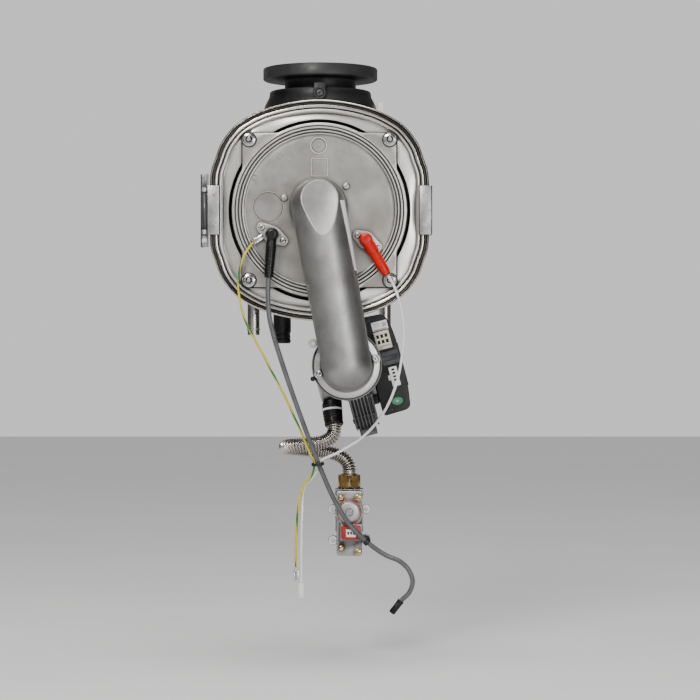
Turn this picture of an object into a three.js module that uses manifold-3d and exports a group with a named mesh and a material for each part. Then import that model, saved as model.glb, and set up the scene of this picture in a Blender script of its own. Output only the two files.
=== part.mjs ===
// Burner and combustion module of a wall-hung condensing boiler.
// Stainless heat-exchanger cell with its burner door, mixing duct, premix fan, gas valve, electrodes and leads.
// Millimetres. +X right, +Y towards the wall behind, +Z up. Origin: centre of the cell's rear face.
import * as THREE from "three";
import { mergeVertices } from "three/addons/utils/BufferGeometryUtils.js";
import Module from "manifold-3d";

const wasm = await Module();
wasm.setup();

// ---------------------------------------------------------------- driving dimensions
const CELL_W = 287, CELL_H = 290; // outer rim of the cell
const CELL_DEPTH = 171; // shell, rear face to rim
const RIM_FRONT = -184.5;
const PLATE_Y = -180; // front face of the front plate
const RECESS_R = 118.3; // round recess that the door sits in
const DOOR_R = 115, DOOR_Y = -186, EAR_HALF = 101, EAR_R = 10;
const STUD_XZ = 92, STUD_R = 3;
const COIL_R = 88, TUBE_R = 8, COIL_TURNS = 5.5;
const BURNER = { x: -1, z: 4, r: 35 };
const DUCT_T = [-1, -226, 4], DUCT_B = [36, -236.5, -203];
const DUCT_RT = 35.3, DUCT_RB = 32.2, DUCT_WALL = 3;
const FLANGE_R = 43, FLANGE_Y0 = -200.3, FLANGE_Y1 = -206.3;
const FAN_TILT = 14.7; // degrees, fan axis against the horizontal
const FAN_Y = -108, FAN_UP = -20; // fan axis in the fan's own frame
const LEAD_R = 3.2, WHITE_R = 1.75, EARTH_R = 1.5;
const HOSE_R = 9;
const VALVE = { x: 39, y: -95, top: -369.1, bottom: -457 };

// ---------------------------------------------------------------- helpers
const rad = (d) => (d * Math.PI) / 180;
const V2 = (p) => new THREE.Vector2(p[0], p[1]);
const V3 = (p) => new THREE.Vector3(p[0], p[1], p[2]);

function solid(geometry) {
  const g = geometry.index ? geometry.toNonIndexed() : geometry;
  const bare = new THREE.BufferGeometry().setAttribute("position", g.getAttribute("position"));
  const m = mergeVertices(bare, 1e-4);
  const src = m.index.array, tri = [];
  for (let i = 0; i < src.length; i += 3)
    if (src[i] !== src[i + 1] && src[i + 1] !== src[i + 2] && src[i] !== src[i + 2]) tri.push(src[i], src[i + 1], src[i + 2]);
  const make = (t) => new wasm.Manifold(new wasm.Mesh({ numProp: 3, vertProperties: new Float32Array(m.attributes.position.array), triVerts: new Uint32Array(t) }));
  let s = make(tri);
  if (s.volume() < 0) {
    for (let i = 0; i < tri.length; i += 3) [tri[i + 1], tri[i + 2]] = [tri[i + 2], tri[i + 1]];
    s = make(tri);
  }
  return s;
}
function geometryOf(s) {
  const m = s.getMesh(), v = new Float32Array(m.numVert * 3);
  for (let i = 0; i < m.numVert; i++) v.set(m.vertProperties.subarray(i * m.numProp, i * m.numProp + 3), i * 3);
  const g = new THREE.BufferGeometry().setAttribute("position", new THREE.BufferAttribute(v, 3));
  g.setIndex(new THREE.BufferAttribute(new Uint32Array(m.triVerts), 1));
  g.computeVertexNormals();
  return g;
}
const circle = (r, n, cx = 0, cz = 0, phase = 0) =>
  Array.from({ length: n }, (_, i) => [cx + r * Math.cos(phase + (2 * Math.PI * i) / n), cz + r * Math.sin(phase + (2 * Math.PI * i) / n)]);
function shapeOf(points, holes = []) {
  const s = new THREE.Shape(points.map(V2));
  for (const h of holes) s.holes.push(new THREE.Path(h.map(V2)));
  return s;
}
// outline in X-Z, thickness along Y from yFront (more negative) to yBack
function plate(points, yFront, yBack, holes = [], bevel = 0, segments = 1) {
  const depth = yBack - yFront - 2 * bevel;
  const g = new THREE.ExtrudeGeometry(shapeOf(points, holes), { depth, steps: 1, bevelEnabled: bevel > 0, bevelThickness: bevel, bevelSize: bevel, bevelOffset: -bevel, bevelSegments: segments });
  g.rotateX(Math.PI / 2); // shape's Y becomes Z, depth runs to -Y
  g.translate(0, yBack - bevel, 0);
  return solid(g);
}
// outline in Y-Z, thickness along X from x0 to x1
function plateX(points, x0, x1, holes = []) {
  const g = new THREE.ExtrudeGeometry(shapeOf(points, holes), { depth: x1 - x0, steps: 1, bevelEnabled: false });
  g.rotateX(Math.PI / 2); // (x,y,z) -> (x,-z,y)
  g.rotateZ(Math.PI / 2); // (x,y,z) -> (-y,x,z)
  g.translate(x0, 0, 0);
  return solid(g);
}
const lathe = (profile, n) => new THREE.LatheGeometry(profile.map(V2), n);
const latheY = (profile, x, z, n = 32) => solid(lathe(profile, n).translate(x, 0, z)); // [radius, y]
const latheZ = (profile, x, y, n = 32) => solid(lathe(profile, n).rotateX(Math.PI / 2).translate(x, y, 0)); // [radius, z]
const latheX = (profile, y, z, n = 32) => solid(lathe(profile, n).rotateZ(-Math.PI / 2).translate(0, y, z)); // [radius, x]
const rodY = (x, z, y0, y1, r, n = 16) => latheY([[0, y0], [r, y0], [r, y1], [0, y1]], x, z, n);
const rodZ = (x, y, z0, z1, r, n = 16) => latheZ([[0, z0], [r, z0], [r, z1], [0, z1]], x, y, n);
const rodX = (y, z, x0, x1, r, n = 16) => latheX([[0, x0], [r, x0], [r, x1], [0, x1]], y, z, n);
const box = (x0, y0, z0, x1, y1, z1) =>
  solid(new THREE.BoxGeometry(x1 - x0, y1 - y0, z1 - z0).translate((x0 + x1) / 2, (y0 + y1) / 2, (z0 + z1) / 2));
function cone(a, b, ra, rb, n = 24) {
  const A = V3(a), B = V3(b), len = A.distanceTo(B);
  const g = new THREE.CylinderGeometry(rb, ra, len, n);
  g.applyQuaternion(new THREE.Quaternion().setFromUnitVectors(new THREE.Vector3(0, 1, 0), B.clone().sub(A).normalize()));
  return solid(g.translate((a[0] + b[0]) / 2, (a[1] + b[1]) / 2, (a[2] + b[2]) / 2));
}
const ball = (c, r, n = 24) => solid(new THREE.SphereGeometry(r, n, Math.round(n / 2)).translate(...c));
function sweep(points, r, sides, steps, tension = 0.5) {
  const path = new THREE.CatmullRomCurve3(points.map(V3), false, "centripetal", tension);
  return solid(new THREE.ExtrudeGeometry(shapeOf(circle(r, sides)), { steps, extrudePath: path, bevelEnabled: false }));
}
const union = (...s) => s.reduce((a, b) => a.add(b));
const cut = (a, ...s) => s.reduce((x, b) => x.subtract(b), a);
function hull2(points) {
  const p = [...points].sort((a, b) => a[0] - b[0] || a[1] - b[1]);
  const half = (pts) => {
    const h = [];
    for (const q of pts) {
      while (h.length > 1 && (h.at(-1)[0] - h.at(-2)[0]) * (q[1] - h.at(-2)[1]) - (h.at(-1)[1] - h.at(-2)[1]) * (q[0] - h.at(-2)[0]) <= 0) h.pop();
      h.push(q);
    }
    h.pop();
    return h;
  };
  return [...half(p), ...half(p.reverse())];
}
const roundRect = (hw, hh, r, n = 4, cx = 0, cz = 0) => {
  const out = [];
  for (const [sx, sz, a0] of [[1, 1, 0], [-1, 1, 90], [-1, -1, 180], [1, -1, 270]])
    for (let i = 0; i <= n; i++) out.push([cx + sx * (hw - r) + r * Math.cos(rad(a0 + (90 * i) / n)), cz + sz * (hh - r) + r * Math.sin(rad(a0 + (90 * i) / n))]);
  return out;
};

// ---------------------------------------------------------------- scene graph
const module = new THREE.Group();
const fan = new THREE.Group(); // fan's own frame: x along the fan axis, z up the fan, tilted
fan.position.set(DUCT_B[0], 0, DUCT_B[2]);
fan.rotation.y = -rad(FAN_TILT);
module.add(fan);
const finish = {
  polished: [0xc9c3ba, 0.15, 1], brushed: [0xd6d3cc, 0.35, 1], cast: [0xb9b6b0, 0.5, 0.9], sand: [0x9c9b99, 0.6, 0.9], zinc: [0xc4c7ca, 0.3, 1],
  sheet: [0xa9a9a7, 0.45, 0.9], black: [0x1b1b1c, 0.5, 0], charcoal: [0x2c2c2d, 0.6, 0], dark: [0x3c3d3e, 0.55, 0.4], cream: [0xe6e2d2, 0.5, 0], white: [0xf0f0ee, 0.5, 0],
  red: [0xd8200f, 0.4, 0], rubber: [0x121212, 0.5, 0], grey: [0x77797b, 0.5, 0], earth: [0xd6cf1c, 0.5, 0], brass: [0xb98a3e, 0.35, 1], valve: [0xb0b0ae, 0.55, 0.8],
  beige: [0xd9d0b8, 0.6, 0], fibre: [0xe8e4d8, 0.95, 0], graphite: [0x333333, 0.8, 0.2], steel: [0xa8a39b, 0.3, 1],
};
function add(name, s, look, group = module) {
  const [color, roughness, metalness] = finish[look];
  const mesh = new THREE.Mesh(geometryOf(s), new THREE.MeshStandardMaterial({ color, roughness, metalness }));
  mesh.name = name;
  group.add(mesh);
}

// ---------------------------------------------------------------- cell outline
const QUARTER = [[143.5, 38], [142, 52], [137, 67], [129, 88], [112, 110], [95, 122], [75, 131.5], [47, 139.5], [20, 143.9]].map(([x, z]) => [(x * CELL_W) / 287, (z * CELL_H) / 290]);
const loop = [];
loop.push([CELL_W / 2, 0], ...QUARTER, [0, CELL_H / 2]);
loop.push(...QUARTER.map(([x, z]) => [-x, z]).reverse(), [-CELL_W / 2, 0]);
loop.push(...QUARTER.map(([x, z]) => [-x, -z]), [0, -CELL_H / 2]);
loop.push(...QUARTER.map(([x, z]) => [x, -z]).reverse());
const cellCurve = new THREE.CatmullRomCurve3(loop.map(([x, z]) => new THREE.Vector3(x, z, 0)), true, "centripetal");
const CELL = cellCurve.getSpacedPoints(40).slice(0, 40).map((p) => [p.x, p.y]);
const outline = (d) =>
  CELL.map((p, i) => {
    const a = CELL[(i + CELL.length - 1) % CELL.length], b = CELL[(i + 1) % CELL.length];
    const t = [b[0] - a[0], b[1] - a[1]], l = Math.hypot(...t);
    return [p[0] + (d * t[1]) / l, p[1] - (d * t[0]) / l];
  });

// ---------------------------------------------------------------- heat-exchanger cell
const FLUE_Y = -88;
const shell = cut(
  plate(outline(-7), -CELL_DEPTH + 0.5, 0),
  plate(outline(-9.5), -CELL_DEPTH - 2, -3),
  rodZ(0, FLUE_Y, 100, 150, 42, 20),
  rodZ(-COIL_R, -140, -150, -80, TUBE_R + 0.9, 12),
  rodZ(COIL_R, -40, -150, -80, TUBE_R + 0.9, 12),
  rodZ(-52, -70, -150, -80, 12.4, 12),
);
add("hx_shell", shell, "brushed");
add("hx_rim", plate(outline(0), RIM_FRONT, -CELL_DEPTH, [outline(-11)], 3.6, 1), "polished");

let frontPlate = union(
  plate(outline(-11.4), PLATE_Y, PLATE_Y + 3, [circle(RECESS_R, 30)]),
  plate(outline(-12.6), PLATE_Y - 2.6, PLATE_Y + 0.5, [outline(-16)]),
  plate(outline(-11.4), PLATE_Y + 2, PLATE_Y + 15, [outline(-13.4)]),
  latheY([[RECESS_R, PLATE_Y + 2], [RECESS_R + 2, PLATE_Y + 2], [RECESS_R + 2, -157], [98, -157], [98, -160], [RECESS_R, -160], [RECESS_R, PLATE_Y + 2]], 0, 0, 30),
);
for (const sx of [-1, 1]) for (const sz of [-1, 1]) frontPlate = frontPlate.add(rodY(sx * STUD_XZ, sz * STUD_XZ, -196, PLATE_Y + 1, STUD_R, 8));
add("hx_front_plate", frontPlate, "brushed");

const coil = [];
coil.push([-COIL_R, -140, -163], [-COIL_R, -140, -110], [-COIL_R, -140, -60], [-COIL_R, -140, -20]);
const turnSteps = Math.round(COIL_TURNS * 12);
for (let i = 1; i < turnSteps; i++) {
  const a = Math.PI - (i / turnSteps) * COIL_TURNS * 2 * Math.PI;
  coil.push([COIL_R * Math.cos(a), -140 + (100 * i) / turnSteps, COIL_R * Math.sin(a)]);
}
coil.push([COIL_R, -40, -20], [COIL_R, -40, -60], [COIL_R, -40, -110], [COIL_R, -40, -163]);
add("hx_coil", cut(sweep(coil, TUBE_R, 6, 70), rodZ(-COIL_R, -140, -164, -150, 5.5, 8), rodZ(COIL_R, -40, -164, -150, 5.5, 8)), "steel");
add("rear_insulation", plate(circle(76, 20), -24, -3.4), "fibre");
add("drain_spigot", latheZ([[8.5, -174], [11, -174], [12, -171], [11, -168], [11, -160], [11.9, -159], [11.9, -118], [8.5, -118], [8.5, -174]], -52, -70, 14), "black");

// ---------------------------------------------------------------- brackets on the rim
add("left_bracket", cut(
  union(
    box(-156, -176, -48, -145.6, -174, 48),
    box(-156, -176, -48, -154, -150, 48),
    box(-148, -187.2, -32, -145.6, -174, 32),
    box(-148, -187.2, -32, -131, -185.2, 32),
  ),
  rodY(-151, 27.6, -180, -170, 2.6, 8), rodY(-151, -28, -180, -170, 2.6, 8),
), "sheet");
add("right_bracket", union(
  box(131, -187.2, -32, 147.6, -185.2, 32),
  box(145.6, -187.2, -32, 147.6, -150, 32),
), "sheet");

// ---------------------------------------------------------------- burner door
const IGN = [-61.4, -32.6], ION = [60.5, -39.5];
const ridge = (r, w, h) => latheY([[r - w, DOOR_Y + 0.6], [r + w, DOOR_Y + 0.6], [r + w * 0.5, DOOR_Y - h], [r - w * 0.5, DOOR_Y - h], [r - w, DOOR_Y + 0.6]], 0, 0, 30);
let door = union(
  plate(circle(DOOR_R, 30), DOOR_Y, DOOR_Y + 8),
  latheY([[108.6, DOOR_Y + 6], [DOOR_R, DOOR_Y + 6], [DOOR_R, -164.3], [108.6, -164.3], [108.6, DOOR_Y + 6]], 0, 0, 30),
  plate(roundRect(EAR_HALF, EAR_HALF, EAR_R), DOOR_Y, -180.4),
  ridge(104, 5, 1.4),
  rodY(-46, 15.6, DOOR_Y - 3, DOOR_Y + 1, 4.3, 8), rodY(35, 31, DOOR_Y - 3, DOOR_Y + 1, 4.3, 8),
);
door = cut(door, rodY(BURNER.x, BURNER.z, -190, -160, 30, 20), rodY(IGN[0], IGN[1], -190, -160, 6, 10), rodY(ION[0], ION[1], -190, -160, 6, 10));
for (const sx of [-1, 1]) for (const sz of [-1, 1]) door = door.subtract(rodY(sx * STUD_XZ, sz * STUD_XZ, -190, -176, STUD_R + 0.6, 8));
for (const [x, z] of [[-75.5, -23], [-47.4, -40.3], [50, -33], [75, -48.5]]) door = door.subtract(rodY(x, z, -190, -180, 2.1, 8));
add("burner_door", door, "cast");
for (const [name, sx, sz] of [["upper_left", -1, 1], ["upper_right", 1, 1], ["lower_left", -1, -1], ["lower_right", 1, -1]])
  add("door_nut_" + name, cut(
    union(rodY(sx * STUD_XZ, sz * STUD_XZ, DOOR_Y - 1.9, DOOR_Y - 0.3, 8.8, 12), plate(circle(6.2, 6, sx * STUD_XZ, sz * STUD_XZ, 0.3), DOOR_Y - 7, DOOR_Y - 1.5)),
    rodY(sx * STUD_XZ, sz * STUD_XZ, -199, -180, STUD_R + 0.3, 8),
  ), "zinc");
add("door_seal", latheY([[110, -164], [114.4, -164], [114.4, -160.3], [110, -160.3], [110, -164]], 0, 0, 30), "graphite");
add("burner_tube", latheY([[28.5, -177.7], [44, -177.7], [44, -176.2], [BURNER.r, -176.2], [BURNER.r, -56], [0, -56], [0, -57.5], [33.5, -57.5], [33.5, -176.2], [28.5, -176.2], [28.5, -177.7]], BURNER.x, BURNER.z, 20), "steel");
add("door_insulation", cut(
  plate(circle(108, 20), -175.9, -150), rodY(BURNER.x, BURNER.z, -180, -140, BURNER.r + 0.8, 20), rodY(IGN[0], IGN[1], -180, -140, 6.4, 10), rodY(ION[0], ION[1], -180, -140, 6.4, 10),
  latheY([[96.5, -161], [109, -161], [109, -149], [96.5, -149], [96.5, -161]], 0, 0, 20),
), "fibre");

// ---------------------------------------------------------------- electrodes and their boots
function electrode(name, centre, screws, rodEnd) {
  const flange = hull2([...circle(6.4, 12, ...screws[0]), ...circle(6.4, 12, ...screws[1]), ...circle(11.5, 16, ...centre)]);
  let e = union(
    plate(flange, DOOR_Y - 3.8, DOOR_Y - 0.4 - 1.2, []),
    rodY(centre[0], centre[1], -207, -142, 4.9, 10),
    rodY(centre[0], centre[1], -143, rodEnd, 1.3, 8),
  );
  for (const s of screws) e = e.subtract(rodY(s[0], s[1], -195, -180, 2.3, 8));
  add(name + "_electrode", e, "beige");
  screws.forEach((s, i) => add(name + "_screw_" + (i ? "lower" : "upper"), union(rodY(s[0], s[1], DOOR_Y - 6.4, DOOR_Y - 4.1, 3.9, 8), rodY(s[0], s[1], DOOR_Y - 5, DOOR_Y + 4.5, 1.7, 8)), "zinc"));
}
electrode("ignition", IGN, [[-75.5, -23], [-47.4, -40.3]], -118);
electrode("ionisation", ION, [[50, -33], [75, -48.5]], -112);
function boot(name, centre, tip, look, rHead, rBody) {
  const mid = [(centre[0] * 2 + tip[0]) / 3, -206, (centre[1] * 2 + tip[2]) / 3];
  add(name, cut(
    union(
      latheY([[0, -213], [rHead - 3, -213], [rHead, -210], [rHead, -191.5], [0, -191.5]], centre[0], centre[1], 14),
      cone([centre[0], -203.5, centre[1]], mid, rBody, rBody, 8),
      ball(mid, rBody, 8),
      cone(mid, tip, rBody, rBody * 0.8, 8),
    ),
    rodY(centre[0], centre[1], -207.4, -190, 5.3, 10),
  ), look);
}
const IGN_TIP = [-65.6, -208.5, -89], ION_TIP = [88.6, -208.5, -86];
boot("ignition_boot", IGN, IGN_TIP, "rubber", 8.3, 6.6);
boot("ionisation_boot", ION, ION_TIP, "red", 8.4, 6.9);
{
  const tab = solid(new THREE.BoxGeometry(15, 1, 6.3).rotateY(rad(-33)).translate(-80, -190.9, -38.5));
  add("earth_tab", tab, "zinc");
}

// ---------------------------------------------------------------- mixing duct
const T = DUCT_T, B = DUCT_B;
function ductSolid(shrink, over) {
  const rt = DUCT_RT - shrink, rb = DUCT_RB - shrink;
  return union(
    cone(T, B, rt, rb, 14), ball(T, rt, 14), ball(B, rb, 14),
    rodY(T[0], T[2], T[1], DOOR_Y - 0.4 + over, rt, 14), rodY(B[0], B[2], B[1], FLANGE_Y0 + over, rb, 14),
  );
}
// the dome's front is cut off by a sloping flat
function facet(inset) {
  const g = new THREE.BoxGeometry(120, 60, 160).translate(0, -30, 80);
  g.rotateX(rad(-17)).rotateY(rad(10));
  return solid(g.translate(2, -261 + inset, -30));
}
let duct = union(ductSolid(0, 0), plate(circle(FLANGE_R, 28, B[0], B[2]), FLANGE_Y1, FLANGE_Y0),
  latheY([[0, DOOR_Y - 6], [DUCT_RT + 1.6, DOOR_Y - 6], [DUCT_RT + 2.6, DOOR_Y - 0.4], [0, DOOR_Y - 0.4]], T[0], T[2], 14));
duct = cut(duct, facet(0));
duct = union(duct, plate(circle(6, 16, -8, -174.6), -218, -214), box(-8, -218, -179, 8, -214, -170.2));
duct = cut(duct, cut(ductSolid(DUCT_WALL, 2), facet(3.4)), rodY(-8, -174.6, -220, -212, 2.3, 8));
const SCREWS = [[0.5, -213.7], [72.5, -194.7]];
for (const [x, z] of SCREWS) duct = duct.subtract(rodY(x, z, -210, -198, 2.4, 8));
add("mixing_duct", duct, "sand");
SCREWS.forEach(([x, z], i) => add("flange_screw_" + (i ? "right" : "left"), union(
  latheY([[0, -211], [2.6, -211], [4.2, -209.6], [4.2, -207.8], [4.7, -207.8], [4.7, -206.6], [0, -206.6]], x, z, 10), rodY(x, z, -208, -192.6, 2, 8)), "zinc"));
// non-return flap: a light disc hung from its top edge inside the duct's outlet end
const FLAP_Y = -211, FLAP_TOP = B[2] + 24.2;
add("non_return_flap", union(plate(circle(23, 24, B[0], B[2] - 0.6), FLAP_Y - 0.8, FLAP_Y + 0.8), rodX(FLAP_Y, FLAP_TOP, B[0] - 9, B[0] + 9, 1.8, 8), box(B[0] - 8, FLAP_Y - 0.8, B[2] + 18, B[0] + 8, FLAP_Y + 0.8, FLAP_TOP)), "steel");

// ---------------------------------------------------------------- fan, in its own tilted frame
const local = ([x, z]) => {
  const dx = x - B[0], dz = z - B[2], c = Math.cos(rad(FAN_TILT)), s = Math.sin(rad(FAN_TILT));
  return [dx * c + dz * s, -dx * s + dz * c];
};
const KNOB = local([-8.4, -220.6]);
add("fan_gasket", cut(
  union(plate(circle(FLANGE_R + 0.8, 20), -200, -197.3, [circle(31, 20)]), rodY(KNOB[0], KNOB[1], -203, -191, 3.2, 8), box(KNOB[0], -199.6, KNOB[1] - 2, KNOB[0] + 8, -197.8, KNOB[1] + 2)),
  ...SCREWS.map((s) => rodY(...local(s), -202, -195, 2.5, 8)),
), "rubber", fan);
// spiral casing outline in Y-Z about the fan axis; the radius grows round to the outlet
const spiral = (d, n = 26) =>
  Array.from({ length: n }, (_, i) => {
    const a = (i / n) * 2 * Math.PI; // 0 at the front, over the top, to the rear and the bottom
    const r = 58 + 12 * Math.pow((((a + rad(20)) / (2 * Math.PI)) % 1), 1) * 1.0 + d;
    return [FAN_Y - r * Math.cos(a), FAN_UP + r * Math.sin(a)];
  });
let scroll = union(
  plateX(spiral(0), -10, 19),
  plate(circle(FLANGE_R + 0.8, 20), -197, -190.5),
  cone([0, -192, 0], [4, -150, -6], 37, 24, 20),
);
for (const u of [-5.5, 14.5]) scroll = scroll.add(plateX(spiral(1.8), u - 1, u + 1)); // ribs round the casing
scroll = union(cut(scroll, box(19.05, -189, -80, 45, -20, 60)), box(-6, FAN_Y - 14, -99, 17, FAN_Y + 14, -86));
scroll = cut(scroll, plateX(spiral(-4), -6, 20.5), cone([0, -199, 0], [4, -140, -6], 29, 15, 18), box(-60, -206, -60, 60, -197, 60), rodX(FAN_Y, FAN_UP, -12, -4, 20, 18), box(-20, -198, -60, 20, -170, -60.1),
  ...SCREWS.map((s) => rodY(...local(s), -198, -191.8, 2.4, 8)));
add("fan_scroll", scroll, "dark", fan);
add("fan_motor_plate", cut(
  union(plateX(spiral(0), 19.3, 22.3), rodX(FAN_Y, FAN_UP, 22, 30, 41, 20), box(20, FAN_Y - 62, -46, 29, FAN_Y - 50, -36)),
  rodX(FAN_Y, FAN_UP, 18, 31, 4.6, 10),
), "dark", fan);
const COVER = [[30.3, -77.5], [62, -76.5], [67.5, -73], [70.6, -52], [72, -22], [71, 20], [69.5, 34], [66.5, 47], [61, 54], [30.3, 56]];
const inside = COVER.map(([u, w]) => [u > 31 ? u - 3.2 : u - 2, w > 0 ? Math.min(w, 51.5) : Math.max(w, -73)]);
add("fan_electronics_cover", cut(
  union(plate(COVER, -165, -55, [], 2.5, 1), plate(roundRect(12, 9, 1.5, 2, 57.2, -4.7), -172.5, -163)),
  plate(inside, -161, -59),
  box(20, -170, -90, 30.3, -50, 70),
), "charcoal", fan);
add("fan_power_plug", union(plate(roundRect(10.3, 12, 1, 1, 53.8, 20), -176, -165.3), box(44.5, -180, 13, 63, -175, 31)), "cream", fan);
add("fan_signal_plug", union(plate(roundRect(5.4, 12.8, 0.8, 1, 56.8, -29.9), -174, -165.3), box(48.6, -170, -34, 52, -165.3, -27)), "white", fan);

let impeller = union(rodX(FAN_Y, FAN_UP, 10, 12, 50, 20), rodX(FAN_Y, FAN_UP, 1, 12, 9, 12), latheX([[33, -3.4], [50, -3.4], [50, -2], [33, -2], [33, -3.4]], FAN_Y, FAN_UP, 20));
for (let i = 0; i < 8; i++) {
  const b = new THREE.BoxGeometry(13.4, 1.6, 27).translate(3.8, 0, 36.2);
  b.rotateX((i * Math.PI) / 4);
  impeller = impeller.add(solid(b.translate(0, FAN_Y, FAN_UP)));
}
add("impeller", cut(impeller, rodX(FAN_Y, FAN_UP, -5, 14, 4.3, 10)), "steel", fan);
add("rotor_shaft", union(rodX(FAN_Y, FAN_UP, -1, 47, 4, 10), rodX(FAN_Y, FAN_UP, 31.5, 45, 19, 18)), "steel", fan);

// mixer on the fan's air inlet, with the gas stub underneath
const STUB = local([16.2, -261]), STUB_TOP = local([15.6, -228]);
let mixer = union(
  latheX([[12, -45], [19, -45], [21.5, -43], [20, -39], [20, -14], [27, -13], [27, -10.4], [12, -10.4], [12, -45]], FAN_Y, FAN_UP, 20),
  cone([STUB_TOP[0], FAN_Y, STUB_TOP[1]], [STUB[0], FAN_Y, STUB[1]], 9, 9, 12),
);
mixer = cut(mixer, rodX(FAN_Y, FAN_UP, -48, -8, 12, 20));
add("mixer_body", mixer, "valve", fan);

// ---------------------------------------------------------------- gas line
add("gas_cuff", cut(
  union(cone([15.7, -108, -241], [16.2, -110.5, -262], 13.2, 13.2, 10), ball([16.2, -110.5, -262], 13.4, 8), cone([16.2, -110.5, -262], [19, -117.5, -284], 13.6, 12.2, 10)),
  cone([15.6, -108, -228], [16.2, -108, -261.5], 9.4, 9.4, 12),
  rodX(FAN_Y, FAN_UP, -48, -6, 21.9, 20).rotate([0, -FAN_TILT, 0]).translate([DUCT_B[0], 0, DUCT_B[2]]),
  cone([17.4, -113.5, -271.9], [19.2, -118, -285.5], 9.9, 9.9, 12),
), "rubber");
const HOSE = [[17.6, -114, -272.6], [19.2, -118, -285], [17.5, -121, -296], [7, -124, -304.5], [-10, -126, -308], [-27, -126, -310], [-40, -121, -311.5], [-45.5, -110.5, -313], [-40, -100, -314.5], [-27, -95, -316.5], [-10, -94.4, -318.5], [8, -94.6, -320.5], [22, -95, -324], [32, -95, -330], [37.6, -95, -338], [VALVE.x, -95, -345.5], [VALVE.x, -95, -350]];
add("gas_hose", sweep(HOSE, HOSE_R, 8, 42), "steel");
add("gas_nut", cut(
  union(plate(circle(0.1, 3), -1, 1).translate([VALVE.x, VALVE.y, -360]), solid(new THREE.CylinderGeometry(17.2, 17.2, 17.8, 6).rotateX(Math.PI / 2).rotateZ(rad(30)).translate(VALVE.x, VALVE.y, -359.4))),
  rodZ(VALVE.x, VALVE.y, -372, -345, 5, 12),
), "brass");

let body = union(
  plate(roundRect(17, 43, 3, 2, 39, -413.5), -135, -60),
  plate(roundRect(19, 4.5, 1.5, 2, 39, -373.7), -114, -76),
  box(26, -60.5, -440, 52, -50, -390),
);
const EARS = [[17.5, -394.6, 1], [61, -394.6, -1], [17.5, -436, 1], [61, -434, -1]];
for (const [x, z, s] of EARS) body = union(body, rodY(x, z, -133.5, -126, 6.4, 12), box(Math.min(x, x + s * 9), -133.5, z - 5.4, Math.max(x, x + s * 9), -126, z + 5.4));
for (const [x, z] of EARS) body = body.subtract(rodY(x, z, -137, -122, 2.9, 8));
body = cut(body, rodZ(39, -92, -460, -394, 9, 14), rodZ(VALVE.x, VALVE.y, -380, -360, 5, 10), rodY(50.6, -379.6, -137, -124, 3.3, 8), rodY(50.6, -452, -137, -124, 3.3, 8), rodY(39, -398, -137, -128, 8, 12));
add("gas_valve_body", body, "valve");
add("valve_gasket", plate(circle(16.4, 28, 39, -398), -136.9, -135.3, [circle(8.4, 20, 39, -398)]), "red");
add("gas_valve_cover", union(latheY([[0, -146], [12.5, -146], [15, -143.5], [15, -137.2], [0, -137.2]], 39, -398, 20), rodY(39, -398, -138, -130, 7.6, 12)), "valve");
add("valve_coil_box", cut(plate(roundRect(12.5, 9, 1, 1, 41.5, -425.4), -146, -135.3), plate(roundRect(7.2, 5.6, 0.6, 1, 41.5, -425.4), -150, -141)), "red");
add("valve_plug", plate(roundRect(6.8, 5.2, 0.6, 1, 41.5, -425.4), -150, -141.3), "white");
for (const [name, z] of [["throttle_screw", -379.6], ["offset_screw", -452]])
  add(name, cut(union(rodY(50.6, z, -139.2, -135.4, 4.6, 10), rodY(50.6, z, -136, -126, 3, 8)), box(50.6 - 5, -140, z - 0.6, 50.6 + 5, -138, z + 0.6)), "brass");
add("safety_armature", union(rodZ(39, -92, -441, -421, 8.5, 12), rodZ(39, -92, -422, -414, 3.2, 8)), "steel");
{
  const pts = [];
  for (let i = 0; i <= 32; i++) pts.push([39 + 6 * Math.cos((i * Math.PI) / 4), -92 + 6 * Math.sin((i * Math.PI) / 4), -420 + (25 * i) / 32]);
  add("safety_spring", sweep(pts, 0.7, 4, 34), "steel");
}

// ---------------------------------------------------------------- flue adapter on the cell's top
let flue = cut(
  union(latheZ([[0, 118], [76, 118], [76, 137], [74.5, 146], [68.5, 158], [68, 164.5], [48, 165.5], [48, 179], [77, 180], [77, 196], [0, 196]], 0, FLUE_Y, 18), box(-8, FLUE_Y - 74, 138, 8, FLUE_Y - 50, 170)),
  plate(outline(-6.4), -176, 2),
  latheZ([[0, 110], [38, 110], [38, 160], [32, 176], [40, 178], [40, 200], [0, 200]], 0, FLUE_Y, 18),
);
flue = cut(flue, latheZ([[44, 110], [71, 110], [71, 137], [69, 150], [62, 160], [44, 160.5], [44, 110]], 0, FLUE_Y, 18));
// the saddle keeps only the piece that stands on the cell
flue = flue.decompose().sort((a, b) => b.volume() - a.volume())[0];
add("flue_adapter", flue, "charcoal");
add("flue_sensor", union(box(77, FLUE_Y - 6, 132, 85, FLUE_Y + 6, 150), rodX(FLUE_Y, 141, 76.4, 78, 3, 8)), "white");

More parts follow.
